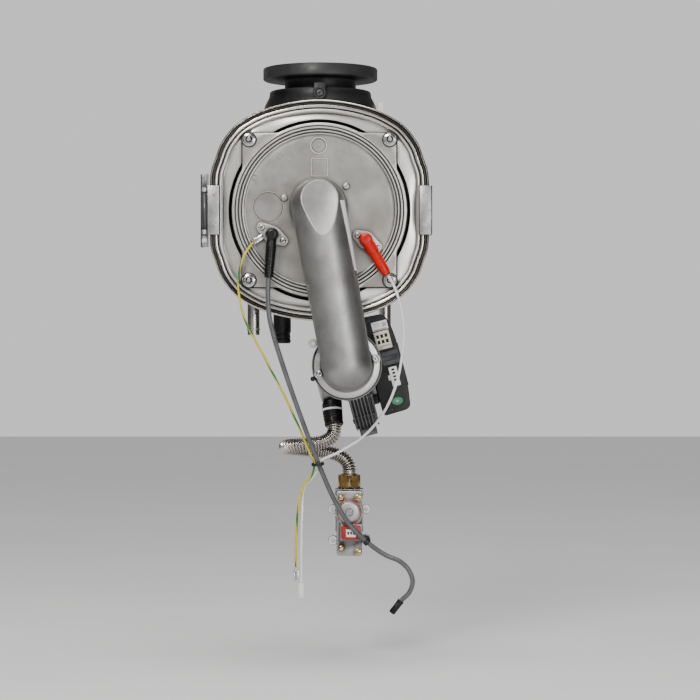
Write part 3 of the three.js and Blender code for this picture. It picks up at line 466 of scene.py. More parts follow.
# ------------------------------------------------------------------ stage and light
def stage():
    me = bpy.data.meshes.new("floor")
    s = 8
    me.from_pydata([(-s, -s, -0.60), (s, -s, -0.60), (s, s, -0.60), (-s, s, -0.60)], [], [(0, 1, 2, 3)])
    floor = bpy.data.objects.new("floor", me)
    bpy.context.scene.collection.objects.link(floor)
    paint = surf("floor_paint", (0.66, 0.66, 0.66), (0.71, 0.71, 0.70), 0, 0.8, 0.1, 3, bumps=((40, 0.05),))
    glow = paint.node_tree.nodes["Principled BSDF"]
    glow.inputs["Emission Color"].default_value = (0.80, 0.80, 0.80, 1)
    ft = paint.node_tree
    seen = ft.nodes.new("ShaderNodeLightPath")
    amount = ft.nodes.new("ShaderNodeMath")
    amount.operation = "MULTIPLY_ADD"
    amount.inputs[1].default_value = 0.26
    amount.inputs[2].default_value = 0.10
    ft.links.new(seen.outputs["Is Camera Ray"], amount.inputs[0])
    ft.links.new(amount.outputs[0], glow.inputs["Emission Strength"])
    me.materials.append(paint)
    floor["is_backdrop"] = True
    w = bpy.data.worlds.new("studio")
    bpy.context.scene.world = w
    w.use_nodes = True
    nt = w.node_tree
    bg = nt.nodes["Background"]
    tc = nt.nodes.new("ShaderNodeTexCoord")
    sep = nt.nodes.new("ShaderNodeSeparateXYZ")
    nt.links.new(tc.outputs["Generated"], sep.inputs[0])
    def ramp(src, stops):
        mr = nt.nodes.new("ShaderNodeMapRange")
        mr.inputs["From Min"].default_value = -1
        mr.inputs["From Max"].default_value = 1
        nt.links.new(src, mr.inputs["Value"])
        cr = nt.nodes.new("ShaderNodeValToRGB")
        e = cr.color_ramp.elements
        e[0].position, e[0].color = stops[0][0], (*stops[0][1], 1)
        e[1].position, e[1].color = stops[-1][0], (*stops[-1][1], 1)
        for p, c in stops[1:-1]:
            k = e.new(p); k.color = (*c, 1)
        nt.links.new(mr.outputs[0], cr.inputs["Fac"])
        return cr.outputs[0]
    up = ramp(sep.outputs["Z"], [(0.0, (0.16, 0.15, 0.14)), (0.30, (0.10, 0.09, 0.08)), (0.46, (0.30, 0.29, 0.28)), (0.52, (0.62, 0.61, 0.60)), (0.60, (0.46, 0.46, 0.46)), (0.74, (0.13, 0.125, 0.12)), (0.86, (0.30, 0.30, 0.31)), (1.0, (0.85, 0.86, 0.88))])
    side = ramp(sep.outputs["X"], [(0.0, (0.10, 0.09, 0.08)), (0.12, (0.16, 0.15, 0.14)), (0.26, (1.0, 1.0, 1.0)), (0.36, (0.55, 0.54, 0.53)), (0.5, (0.80, 0.80, 0.80)), (0.62, (0.45, 0.44, 0.43)), (0.74, (0.90, 0.90, 0.90)), (0.86, (0.14, 0.13, 0.12)), (1.0, (0.08, 0.07, 0.06))])
    mul = nt.nodes.new("ShaderNodeMix")
    mul.data_type = "RGBA"
    mul.blend_type = "MULTIPLY"
    mul.inputs[0].default_value = 1.0
    nt.links.new(up, mul.inputs[6])
    nt.links.new(side, mul.inputs[7])
    lp = nt.nodes.new("ShaderNodeLightPath")
    sel = nt.nodes.new("ShaderNodeMix")
    sel.data_type = "RGBA"
    sel.inputs[7].default_value = (0.80, 0.80, 0.80, 1)
    nt.links.new(lp.outputs["Is Camera Ray"], sel.inputs[0])
    dif = nt.nodes.new("ShaderNodeMix")
    dif.data_type = "RGBA"
    dif.inputs[7].default_value = (0.21, 0.21, 0.214, 1)
    nt.links.new(lp.outputs["Is Diffuse Ray"], dif.inputs[0])
    nt.links.new(mul.outputs[2], dif.inputs[6])
    nt.links.new(dif.outputs[2], sel.inputs[6])
    nt.links.new(sel.outputs[2], bg.inputs["Color"])
    bg.inputs["Strength"].default_value = 1.0
    def light(name, loc, target, size, power, col=(1, 1, 1), sy=None):
        d = bpy.data.lights.new(name, "AREA")
        d.shape = "RECTANGLE"
        d.size = size
        d.size_y = sy or size
        d.energy = power
        d.color = col
        o = bpy.data.objects.new(name, d)
        o.location = loc
        o.rotation_euler = (Vector(target) - Vector(loc)).to_track_quat("-Z", "Y").to_euler()
        bpy.context.scene.collection.objects.link(o)
    light("key", (-0.75, -2.3, 1.45), (0, -0.15, -0.12), 0.8, 50, (1, 0.985, 0.96))
    light("fill", (1.15, -2.5, 0.25), (0, -0.15, -0.2), 0.8, 17, (0.96, 0.98, 1))
    light("low", (0.5, -2.4, -0.3), (0, -0.2, -0.2), 0.7, 5, (1, 0.99, 0.97))
    light("top", (0.1, -0.5, 1.9), (0, -0.15, 0), 1.0, 20)
stage()

# ------------------------------------------------------------------ cords (millimetre paths of the leads)
IGN_LEAD = [(-65.7, -208.6, -89.4), (-66.4, -210, -103), (-65.2, -211, -135), (-60, -209, -161), (-44, -201, -213), (-23, -187, -274), (-4.5, -173, -324), (-0.7, -170.5, -334), (18, -160, -378), (38, -155.4, -412), (50, -154, -425), (62, -149.4, -436.5), (74, -150, -446), (88, -153, -454.5), (106, -157, -462), (118, -159, -474), (122.5, -159.5, -489), (118, -158.5, -503), (108, -157, -513)]
ION_LEAD = [(88.9, -208.6, -86.5), (93.5, -209.5, -93), (101, -208, -110), (108, -203, -138), (110, -198, -162), (108, -193, -190), (102, -188, -222), (92, -183, -250), (78, -177, -274), (57, -170.5, -297), (38, -167, -310), (20, -165.5, -320), (6, -165.2, -326), (0.6, -165.2, -330), (-0.4, -165.2, -336), (-9, -165.3, -350), (-20, -166, -364), (-23, -166, -400), (-24, -166, -450), (-24, -166, -489)]
EARTH_LEAD = [(-86.6, -190.9, -43), (-91, -193, -48.5), (-98, -196, -60), (-105, -199, -87), (-104, -201, -114), (-96, -200, -145), (-85, -198, -168), (-75, -196, -186), (-58, -190, -219), (-40, -182.5, -255), (-24.5, -175.5, -290), (-11.2, -171.3, -322), (-7.2, -170.7, -329), (-7, -170.7, -337), (-12, -170.5, -350), (-22, -170.8, -364), (-29, -171, -400), (-31, -171, -440), (-31, -171, -468)]

# ------------------------------------------------------------------ cell outline, by polar angle
QUARTER = [(143.5, 38), (142, 52), (137, 67), (129, 88), (112, 110), (95, 122), (75, 131.5), (47, 139.5), (20, 143.9)]
LOOP = [(143.5, 0)] + QUARTER + [(0, 145)] + [(-x, z) for x, z in reversed(QUARTER)] + [(-143.5, 0)] + [(-x, -z) for x, z in QUARTER] + [(0, -145)] + [(x, -z) for x, z in reversed(QUARTER)]
_c = catmull([(x, 0, z) for x, z in LOOP[-3:] + LOOP + LOOP[:4]], 24)
_a = np.unwrap(np.arctan2(_c[:, 2], _c[:, 0]))
_keep = (_a >= _a[0] + 0.3)
_c, _a = _c[_keep], _a[_keep]
_n = int(np.searchsorted(_a, _a[0] + 2 * math.pi))
CURVE = _c[:_n][:, [0, 2]]
NA = 288
TH = np.arange(NA) * 2 * math.pi / NA
def cell_r(d):
    """radius at each angle of the outline moved out by d"""
    nx = np.roll(CURVE, -1, 0) - np.roll(CURVE, 1, 0)
    nx /= np.linalg.norm(nx, axis=1)[:, None]
    p = CURVE + d * np.stack([nx[:, 1], -nx[:, 0]], 1)
    a = np.arctan2(p[:, 1], p[:, 0]) % (2 * math.pi)
    r = np.hypot(p[:, 0], p[:, 1])
    o = np.argsort(a)
    return np.interp(TH, a[o], r[o], period=2 * math.pi)
def polar(r, y, cx=0.0, cz=0.0):
    r = np.broadcast_to(np.asarray(r, float), TH.shape)
    y = np.broadcast_to(np.asarray(y, float), TH.shape)
    return [(cx + a * math.cos(t), b, cz + a * math.sin(t)) for a, b, t in zip(r, y, TH)]
C = {}
def CR(d):
    if d not in C:
        C[d] = cell_r(d)
    return C[d]

def ear_outline():
    c, s = np.abs(np.cos(TH)), np.abs(np.sin(TH))
    def rounded_square(half, rc):
        # distance to a rounded square along each angle
        out = []
        for a, b in zip(c, s):
            lo, hi = 0.0, 200.0
            for _ in range(40):
                m = (lo + hi) / 2
                qx, qz = m * a - (half - rc), m * b - (half - rc)
                d = math.hypot(max(qx, 0), max(qz, 0)) + min(max(qx, qz), 0) - rc
                if d > 0: hi = m
                else: lo = m
            out.append(lo)
        return np.array(out)
    sq = rounded_square(101, 10)
    k = 2.2
    def smax(a, b):
        return np.maximum(a, b) + np.maximum(k - np.abs(a - b), 0) ** 2 / (4 * k)
    return smax(np.full(NA, 114.6), sq)
EAR_R = ear_outline()

def build_cell():
    # rolled rim bead
    prof = [(-11, -171), (-11, -180.4), (-10.7, -181.3), (-10.1, -182.2), (-9.2, -182.8), (-8.1, -183.0), (-7.1, -182.7), (-6.4, -182.0), (-6.0, -181.2), (-5.8, -180.2), (-5.2, -179.5), (-4.3, -179.3), (-3.5, -179.6), (-3.1, -180.4), (-2.9, -181.8), (-2.6, -183.0), (-2.1, -183.9), (-1.4, -184.4), (-0.8, -184.2), (-0.3, -183.2), (0, -181.6), (0, -177.2), (-0.6, -176.7), (-0.6, -176.0), (0, -175.5), (0, -171)]
    rim = loft("rim_bead", [polar(CR(d), y) for d, y in prof], "polished_stainless", closed_v=True, cap=False, angle=50)
    # the groove faces between the bead's two ridges get a dark brown steel: painted shade in the groove
    rim.data.materials.append(M["groove_shade_steel"])
    for f in rim.data.polygons:
        if f.center.y > -0.1811 and f.center.y < -0.179 and f.normal.y < -0.15:
            f.material_index = 1
    put(rim, "hx_rim")
    # shell: rear plate with a pressed ring, swaged wall
    rings = [polar(26, 0), polar(56, 0), polar(57, -0.1), polar(60, -1.3), polar(72, -1.3), polar(75, -0.1), polar(76, 0), polar(94, 0), polar(95.5, -0.2), polar(98, -1.3), polar(104, -1.3), polar(106.5, -0.2), polar(108, 0)]
    rings += [polar(CR(-12), 0), polar(CR(-9.6), -0.5), polar(CR(-7.9), -1.9), polar(CR(-7.1), -4.0), polar(CR(-7), -6)]
    for y0 in (-18, -120, -150):
        rings += [polar(CR(-7), y0), polar(CR(-6.4), y0 - 1.2), polar(CR(-5.6), y0 - 3), polar(CR(-5.5), y0 - 6), polar(CR(-6.4), y0 - 7.8), polar(CR(-7), y0 - 9)]
    rings += [polar(CR(-7), -170.5), polar(CR(-9.5), -170.5)]
    rings += [polar(CR(-9.5), -6), polar(CR(-12), -3.1), polar(108, -3.1), polar(60, -3.1), polar(26, -3.1)]
    shell = loft("cell_shell", rings, "brushed_stainless", angle=40)
    for cx, cy, r, z0, z1 in ((0, -88, 42, 100, 160), (-88, -140, 8.9, -160, -80), (88, -40, 8.9, -160, -80), (-52, -70, 12.4, -160, -80)):
        boolean(shell, lathe("cutter", [(r, z0), (r, z1)], cx, cy, "brushed_stainless", axis="z", n=72))
    shade(shell, 40)
    seam = boxo("seam", (-0.9, -168, -138.45), (0.9, -3, -137.6), "brushed_stainless", 0.3)
    put(join("cell_shell_all", [shell, seam]), "hx_shell")
    # front plate, dished between the bead and the recess
    rings = [polar(CR(-11.4), -165.2), polar(CR(-11.4), -180.5), polar(CR(-11.9), -181.6), polar(CR(-12.9), -182.5), polar(CR(-14.2), -182.8), polar(CR(-15.4), -182.4), polar(CR(-16.2), -181.4), polar(CR(-16.8), -179.6), polar(CR(-17.2), -178.2)]
    ro = CR(-17.8)
    rin = np.minimum(np.maximum(EAR_R + 1.5, 119.4), ro - 0.4)
    shelf = np.maximum(rin - 0.4, 118.6)
    w = ro - 120.2
    lift = 2.3 * np.exp(-np.clip(w - 6, 0, 99) / 9.0)
    for t in np.linspace(0, 1, 16):
        rings.append(polar(ro + (rin - ro) * t, -178.9 + lift * (1 - t) ** 1.5))
    rings += [polar(shelf + 0.15, -178.6), polar(shelf, -178.0), polar(shelf, -175.4), polar(118.3, -175.4)]
    rings += [polar(118.3, -160.2), polar(98, -160.2), polar(98, -157), polar(120.3, -157), polar(120.3, -172.8)]
    rings += [polar(CR(-17), -172.8), polar(CR(-13.2), -172.8), polar(CR(-13.2), -165.2)]
    plate = loft("front_plate", rings, "plate_stainless", closed_v=True, cap=False, angle=40)
    # the recess's wall and floor round the door get the near-black steel: painted shade
    plate.data.materials.append(M["recess_shade_steel"])
    for f in plate.data.polygons:
        c = f.center
        inside = float(np.interp(math.atan2(c.z, c.x) % (2 * math.pi), TH, shelf, period=2 * math.pi)) * MM + 0.00005
        if c.y > -0.1786 and math.hypot(c.x, c.z) < inside and f.normal.y < 0.5:
            f.material_index = 1
    parts = [plate]
    for sx in (-1, 1):
        for sz in (-1, 1):
            prof = [(0.2, -196), (2.2, -196), (2.6, -195.6)]
            y = -195.4
            while y < -184.4:
                prof += [(2.95, y + 0.15), (2.95, y + 0.35), (2.5, y + 0.85)]
                y += 1.0
            prof += [(2.9, -184), (3, -175.2), (0.2, -175.2)]
            parts.append(lathe("stud", prof, sx * 92, sz * 92, "zinc_steel", n=28))
            # weld washer under the ear
            parts.append(lathe("stud_foot", [(3.1, -181.0), (5.6, -180.9), (6.4, -180.4), (6.4, -175.2), (3.1, -175.2)], sx * 92, sz * 92, "plate_stainless", n=40, closed=True))
    put(join("front_plate_all", parts), "hx_front_plate")
    # coil
    pts = [(-88, -140, -163), (-88, -140, -140), (-88, -140, -110), (-88, -140, -60), (-88, -140, -20)]
    steps = 5.5 * 24
    for i in range(1, int(steps)):
        a = math.pi - (i / steps) * 5.5 * 2 * math.pi
        pts.append((88 * math.cos(a), -140 + 100 * i / steps, 88 * math.sin(a)))
    pts += [(88, -40, -20), (88, -40, -60), (88, -40, -110), (88, -40, -140), (88, -40, -163)]
    path = catmull(pts, 3)
    coil = tube("coil", path, 8, "coil_stainless", n=22)
    for x, y in ((-88, -140), (88, -40)):
        boolean(coil, lathe("cutter", [(6.4, -170), (6.4, -150)], x, y, "coil_stainless", axis="z", n=32))
    beads = [lathe("bead", [(8.05, -157), (8.7, -156.4), (8.8, -155.6), (8.7, -154.8), (8.05, -154.2)], x, y, "coil_stainless", axis="z", n=40) for x, y in ((-88, -140), (88, -40))]
    shade(coil, 50)
    put(join("coil_all", [coil] + beads), "hx_coil")
    # drain spigot
    put(lathe("drain", [(8.5, -174), (10.2, -174), (11, -173.2), (12, -171.3), (12, -170.6), (11, -168.2), (11, -166), (11.6, -165.2), (11.6, -164.6), (10.8, -163), (10.8, -160), (11.9, -159), (11.9, -118), (8.5, -118)], -52, -70, "black_plastic", axis="z", n=56, closed=True), "drain_spigot")
build_cell()

def build_brackets():
    parts = [
        boxo("face", (-156, -176, -48), (-145.6, -174, 48), "bracket_dark", 0.5),
        boxo("leg", (-156, -176, -48), (-154, -150, 48), "bracket_dark", 0.5),
        boxo("riser", (-148, -187.2, -32), (-145.6, -174, 32), "bracket_sheet", 0.5),
        boxo("tab", (-148, -187.2, -32), (-131, -185.2, 32), "bracket_sheet", 0.5),
    ]
    for z in (27.6, -28):
        boolean(parts[0], lathe("cutter", [(2.6, -180), (2.6, -170)], -151, z, "bracket_sheet", n=28))
        parts.append(lathe("hole_lip", [(2.6, -176.3), (3.4, -176.3), (3.7, -175.9), (2.6, -175.6)], -151, z, "bracket_sheet", n=32, closed=True))
    for z in (-20, 20):
        parts.append(lathe("spot_weld", [(0.2, -187.25), (2.2, -187.35), (2.9, -187.1), (0.2, -187.0)], -137.5, z, "bracket_sheet", n=24))
    put(join("bracket_left", parts), "left_bracket")
    parts = [
        boxo("tab", (131, -187.2, -32), (147.6, -185.2, 32), "bracket_sheet", 0.5),
        boxo("leg", (145.6, -187.2, -32), (147.6, -150, 32), "bracket_sheet", 0.5),
    ]
    for z in (-20, 20):
        parts.append(lathe("spot_weld", [(0.2, -187.25), (2.2, -187.35), (2.9, -187.1), (0.2, -187.0)], 137.5, z, "bracket_sheet", n=24))
    put(join("bracket_right", parts), "right_bracket")
build_brackets()

# ------------------------------------------------------------------ burner door
def build_door():
    ear = EAR_R
    def inset(r, d):
        return np.where(r > 115.2, r - d * 1.15, r - d)
    inner = [(112.4, -186.2), (111.0, -186.2), (110.7, -184.6), (109.7, -184.4), (109.4, -186.8), (109.0, -187.3), (107.2, -187.3), (106.7, -186.8), (106.4, -184.9), (105.2, -184.8), (104.9, -186.7), (104.5, -187.3), (103.2, -187.3), (102.7, -186.9), (102.4, -185.2), (101.3, -185.1), (101.0, -186.6), (100.6, -187.1), (99.4, -187.1), (98.9, -186.8), (98.2, -186.1), (96.5, -185.7), (95.4, -185.9), (94, -186.0)]
    rings = [polar(115, -181.2), polar(inset(ear, 0.6), -181.2), polar(ear, -181.8), polar(ear, -184.9), polar(inset(ear, 0.35), -185.6), polar(inset(ear, 1.1), -186.0), polar(np.minimum(inset(ear, 3), 122), -186.0), polar(113.6, -186.0)]
    rings += [polar(r, y) for r, y in inner]
    for r in (88, 80, 70, 60, 50, 42, 30, 15):
        rings.append(polar(r, -186.0 - 0.25 * (1 - (r / 94) ** 2)))
    top = loft("door_top", rings, "cast_aluminium", cap=False, angle=38)
    rings = [polar(115, -181.2), polar(115, -165.2), polar(114.4, -164.4), polar(109.4, -164.4), polar(108.6, -165.2), polar(108.6, -178.2), polar(15, -178.2)]
    under = loft("door_under", rings, "cast_aluminium", cap=False, angle=38)
    parts = [top, under]
    # centre disc closing the front, hidden by the duct
    parts.append(lathe("door_core", [(15, -186.24), (15, -178.2)], 0, 0, "cast_aluminium", n=NA))
    def ring(x, z, ri, ro, h, y=-186.1, n=48):
        return lathe("mark", [(ri, y), (ri + 0.15, y - h), (ro - 0.15, y - h), (ro, y), (ro, y + 0.6), (ri, y + 0.6)], x, z, "cast_aluminium", n=n, closed=True, angle=40)
    parts.append(ring(-1, 84.4, 9.6, 11.2, 0.55))
    parts.append(lathe("dot", [(0.1, -186.9), (1.2, -186.8), (1.5, -186.4), (1.5, -185.6), (0.1, -185.6)], -1, 84.4, "cast_aluminium", n=20))
    # blank square outline
    o1, o2 = rrect(11, 12, 2.2, 5, 0, 56), rrect(10.2, 11.2, 1.6, 5, 0, 56)
    n = len(o1)
    v, f = [], []
    for pts, y in ((o1, -185.7), (o1, -186.75), (o2, -186.75), (o2, -185.7)):
        v += [(x, y, z) for x, z in pts]
    for j in range(3):
        for i in range(n):
            f.append((j * n + i, j * n + (i + 1) % n, (j + 1) * n + (i + 1) % n, (j + 1) * n + i))
    parts.append(obj_from("square", v, f, "cast_aluminium", 30))
    # blanking circle
    parts.append(ring(-67, 4, 19.5, 20.3, 0.35, n=72))
    # dark rings beside the raised rings: painted shadow of the engraved lines
    parts.append(lathe("line", [(18.6, -185.8), (18.6, -186.32), (19.5, -186.32), (19.5, -185.8)], -67, 4, "groove_shade_steel", n=72, closed=True))
    parts.append(lathe("line", [(8.7, -185.8), (8.7, -186.36), (9.6, -186.36), (9.6, -185.8)], -1, 84.4, "groove_shade_steel", n=48, closed=True))
    # bosses
    for x, z in ((-46, 15.6), (35, 31)):
        parts.append(lathe("boss", [(0.1, -188.9), (3.2, -188.9), (3.9, -188.5), (4.3, -187.6), (4.5, -186.6), (5.6, -186.0), (5.6, -185.4), (0.1, -185.4)], x, z, "cast_aluminium", n=32, angle=40))
        parts.append(lathe("boss_dimple", [(0.1, -188.75), (1.4, -188.95), (1.9, -188.98), (2.1, -188.85), (0.1, -188.7)], x, z, "cast_aluminium", n=24))
    # small ejector marks
    for x, z in ((-20, -66), (66, -70), (-84, 42), (86, 34), (58, 66), (-52, 70)):
        parts.append(ring(x, z, 3.2, 3.7, 0.18, n=32))
    for sx in (-1, 1):
        for sz in (-1, 1):
            # raised land round the stud, near black: painted shadow of the gap round the nut
            parts.append(lathe("land", [(3.7, -186.25), (9.9, -186.25), (10.6, -185.7), (3.7, -185.4)], sx * 92, sz * 92, "recess_shade_steel", n=48, closed=True))
    put(join("door", parts), "burner_door")

def loftr(name, prof, cx, cz, mat, n=72, closed=False, angle=35, cap=True):
    """rings of any radius function about Y"""
    rings = []
    for fn, y in prof:
        ring = []
        for i in range(n):
            t = 2 * math.pi * i / n
            r = fn(t) if callable(fn) else fn
            ring.append((cx + r * math.cos(t), y, cz + r * math.sin(t)))
        rings.append(ring)
    return loft(name, rings, mat, closed_v=closed, cap=cap and not closed, angle=angle)

def hexr(af, ph, cap=None):
    """hexagon of that half width across flats"""
    def f(t):
        u = (t - ph) % (math.pi / 3) - math.pi / 6
        r = af / math.cos(u)
        return min(r, cap) if cap else r
    return f

def build_nuts():
    for i, (tag, sx, sz) in enumerate((("upper_left", -1, 1), ("upper_right", 1, 1), ("lower_left", -1, -1), ("lower_right", 1, -1))):
        af, ph = 5.4, 0.3 + 0.17 * i
        prof = [(3.3, -186.3), (8.6, -186.3), (8.8, -186.7), (8.4, -187.3), (7.2, -187.8), (hexr(af, ph, 6.3), -188.2), (hexr(af, ph), -188.5), (hexr(af, ph), -192.2), (hexr(af, ph, 5.9), -192.7), (hexr(af, ph, 5.45), -193.0), (4.5, -193.0), (3.5, -190.8)]
        o = loftr("nut_" + tag, prof, sx * 92, sz * 92, "zinc_steel", n=96, closed=True, angle=28)
        put(o, "door_nut_" + tag)

def hex_socket_screw(name, x, z, r, y0, y1, shank, yend, mat="zinc_steel", recess=2.0, n=48, kind="torx"):
    """pan head, y0 front, y1 under the head"""
    def star(t):
        return recess * (0.86 + 0.14 * math.cos(6 * t)) if kind == "torx" else (hexr(recess * 0.9, 0.4)(t))
    h = y1 - y0
    prof = [(0.05, y0 + 1.5), (star, y0 + 1.5), (star, y0 + 0.25), (lambda t: star(t) + 0.25, y0 + 0.05), (r * 0.62, y0), (r * 0.84, y0 + h * 0.12), (r * 0.96, y0 + h * 0.35), (r, y0 + h * 0.62), (r, y1 - 0.1), (r - 0.1, y1), (shank, y1), (shank, yend), (0.05, yend)]
    return loftr(name, prof, x, z, mat, n=n, angle=34)

IGN, ION = (-61.4, -32.6), (60.5, -39.5)
def build_electrodes():
    for name, ctr, screws, rod in (("ignition", IGN, ((-75.5, -23), (-47.4, -40.3)), -118), ("ionisation", ION, ((50, -33), (75, -48.5)), -112)):
        out = hull2(circ(6.4, 40, *screws[0]) + circ(6.4, 40, *screws[1]) + circ(11.5, 60, *ctr))
        fl = prism("flange", out, -189.8, -187.6, "electrode_plate", 0.0)
        for s in screws:
            boolean(fl, lathe("cutter", [(2.3, -195), (2.3, -180)], s[0], s[1], "electrode_plate", n=24))
        bevel(fl, 0.45, 3)
        parts = [fl]
        parts.append(lathe("collar", [(4.9, -189.4), (7.6, -189.4), (7.6, -190.6), (7.0, -191.2), (4.9, -191.2)], ctr[0], ctr[1], "electrode_plate", n=48, closed=True))
        prof = [(1.2, -207), (4.2, -207), (4.9, -206.4)]
        for j in range(5):
            y = -204.5 + 2.4 * j
            prof += [(4.9, y), (4.6, y + 0.5), (4.9, y + 1.0)]
        prof += [(4.9, -142.6), (4.3, -142), (1.2, -142)]
        parts.append(lathe("ceramic", prof, ctr[0], ctr[1], "beige_ceramic", n=32))
        tip = rod
        parts.append(lathe("rod", [(0.05, -150), (1.3, -150), (1.3, tip - 1), (0.9, tip), (0.05, tip)], ctr[0], ctr[1], "coil_stainless", n=16))
        put(join(name + "_electrode_all", parts), name + "_electrode")
        for s, t in zip(screws, ("upper", "lower")):
            put(hex_socket_screw(name + "_bolt_" + t, s[0], s[1], 3.9, -192.4, -190.1, 1.7, -181.5), name + "_screw_" + t)

def build_boots():
    for name, ctr, tip, mat, rh, rb in (("ignition", IGN, np.array([-65.6, -208.5, -89.0]), "black_rubber", 8.3, 6.6), ("ionisation", ION, np.array([88.6, -208.5, -86.0]), "red_silicone", 8.4, 6.9)):
        a = np.array([ctr[0], -203.5, ctr[1]])
        mid = np.array([(ctr[0] * 2 + tip[0]) / 3, -206.0, (ctr[1] * 2 + tip[2]) / 3])
        head = lathe("head", [(0.1, -213), (rh - 4.4, -213), (rh - 2.4, -212.6), (rh - 1.0, -211.6), (rh - 0.2, -210.2), (rh, -208.6), (rh, -196.5), (rh - 0.5, -196), (rh - 0.5, -195.2), (rh, -194.8), (rh, -192.4), (rh - 0.6, -191.6), (0.1, -191.6)], ctr[0], ctr[1], mat, n=56)
        pts = catmull([a, (a + mid) / 2, mid, mid * 0.6 + tip * 0.4, mid * 0.25 + tip * 0.75, tip], 10)
        pts, s = resample(pts, 0.8)
        L = s[-1]
        if name == "ionisation":
            def armr(q):
                if q < L * 0.36: return 7.9
                if q < L * 0.40: return 7.9 - 1.3 * (q / L - 0.36) / 0.04
                return 6.6 + 0.35 * math.sin(math.pi * (q / L - 0.40) / 0.45) if q < L * 0.85 else 6.6 - 1.9 * (q / L - 0.85) / 0.15
        else:
            def armr(q):
                return rb if q < L * 0.35 else rb - (rb * 0.12) * (q / L - 0.35) / 0.65
        arm = tube("arm", pts, armr, mat, n=36)
        shell = join("boot_raw", [head, arm])
        remesh(shell, 0.55, 6)
        shell.data.materials.clear()
        shell.data.materials.append(M[mat])
        boolean(shell, lathe("cutter", [(5.3, -207.4), (5.3, -190)], ctr[0], ctr[1], mat, n=36))
        shade(shell, 45)
        extra = []
        d = (tip - mid) / np.linalg.norm(tip - mid)
        if name == "ignition":
            # fine grip ribs round the arm and the head
            for q in np.linspace(0.30, 0.94, 12):
                p0 = pts[int(q * (len(pts) - 1))]
                r0 = (rb if q < 0.35 else rb - rb * 0.12 * (q - 0.35) / 0.65) - 0.5
                seg = np.array([p0 - d * 0.75, p0 - d * 0.45, p0, p0 + d * 0.45, p0 + d * 0.75])
                extra.append(tube("rib", seg, [r0, r0 + 1.0, r0 + 1.15, r0 + 1.0, r0], mat, n=36))
            for q in range(3):
                y = -200.5 - 2.3 * q
                extra.append(lathe("rib", [(rh - 0.5, y - 0.6), (rh + 0.25, y - 0.3), (rh + 0.25, y + 0.3), (rh - 0.5, y + 0.6)], ctr[0], ctr[1], mat, n=56, closed=True))
        else:
            # step where the arm begins, and the lip at its end
            for q, g, w in ((0.965, 0.1, 1.0),):
                p0 = pts[int(q * (len(pts) - 1))]
                r0 = (rb if q < 0.35 else rb - rb * 0.12 * (q - 0.35) / 0.65) - 0.3
                seg = np.array([p0 - d * w, p0 - d * w * 0.7, p0, p0 + d * w * 0.7, p0 + d * w]) if q < 0.9 else np.array([p0 - d * w * 1.6, p0 - d * w, p0 - d * w * 0.2, p0 + d * 0.2, p0 + d * 0.6])
                extra.append(tube("step", seg, [r0, r0 + g, r0 + g + 0.1, r0 + g, r0], mat, n=40))
            # mould seam along the arm
            side = np.cross(d, np.array([0, -1.0, 0])); side /= np.linalg.norm(side)
            line = [pts[int(q * (len(pts) - 1))] + np.array([0, -1, 0]) * (rb * (1 - 0.12 * max(0, q - 0.35) / 0.65) - 0.05) for q in np.linspace(0.12, 0.9, 24)]
            extra.append(tube("seam", line, 0.28, mat, n=8))
        put(join(name + "_boot_all", [shell] + extra), name + "_boot")
    # flat tab of the earth lead, with a crimp barrel
    m = Matrix.Translation(Vector((-80, 0, -38.5)) * MM) @ Matrix.Rotation(math.radians(-33), 4, "Y")
    blade = prism("blade", [(-7.5, -3.15), (7.5, -3.15), (7.5, 2.2), (6.6, 3.15), (-7.5, 3.15)], -191.4, -190.4, "zinc_steel", 0.25, xform=m)
    roll1 = boxo("curl", (-7.3, -191.95, -3.1), (-0.5, -191.35, -1.9), "zinc_steel", 0.25, xform=m)
    roll2 = boxo("curl", (-7.3, -191.95, 1.9), (-0.5, -191.35, 3.1), "zinc_steel", 0.25, xform=m)
    put(join("earth_terminal", [blade, roll1, roll2]), "earth_tab")

build_door()
build_nuts()
build_electrodes()
build_boots()

# ------------------------------------------------------------------ mixing duct
DT, DB = np.array([-1, -226, 4.0]), np.array([36, -236.5, -203.0])
SCREWS = ((0.5, -213.7), (72.5, -194.7))
def cone3(name, a, b, ra, rb, mat, n=64):
    a, b = np.array(a, float), np.array(b, float)
    return tube(name, np.array([a, a * 0.67 + b * 0.33, a * 0.33 + b * 0.67, b]), [ra, ra * 0.67 + rb * 0.33, ra * 0.33 + rb * 0.67, rb], mat, n=n)
def ball(name, c, r, mat, n=64):
    k = n // 2
    return lathe(name, [(max(0.02, r * math.sin(math.pi * i / k)), c[1] - r * math.cos(math.pi * i / k)) for i in range(k + 1)], c[0], c[2], mat, n=n)
def facet_block(inset):
    m = Matrix.Translation(Vector((2, -261 + inset, -30)) * MM) @ Matrix.Rotation(math.radians(10), 4, "Y") @ Matrix.Rotation(math.radians(-17), 4, "X")
    xs = np.linspace(-60, 60, 81)
    back = [(x, -0.13 * (math.sqrt(x * x + 160) - 12.65)) for x in xs]
    n = len(back)
    verts, faces = [], []
    for z in (-20, 160):
        verts += [(x, y, z) for x, y in back] + [(60, -60, z), (-60, -60, z)]
    k = n + 2
    faces = [tuple(range(k)), tuple(range(2 * k - 1, k - 1, -1))] + [(i, (i + 1) % k, k + (i + 1) % k, k + i) for i in range(k)]
    o = obj_from("facet", verts, faces, "sandcast_aluminium")
    o.data.transform(m)
    return o
def union_all(objs):
    base = objs[0]
    for o in objs[1:]:
        boolean(base, o, "UNION")
    return base
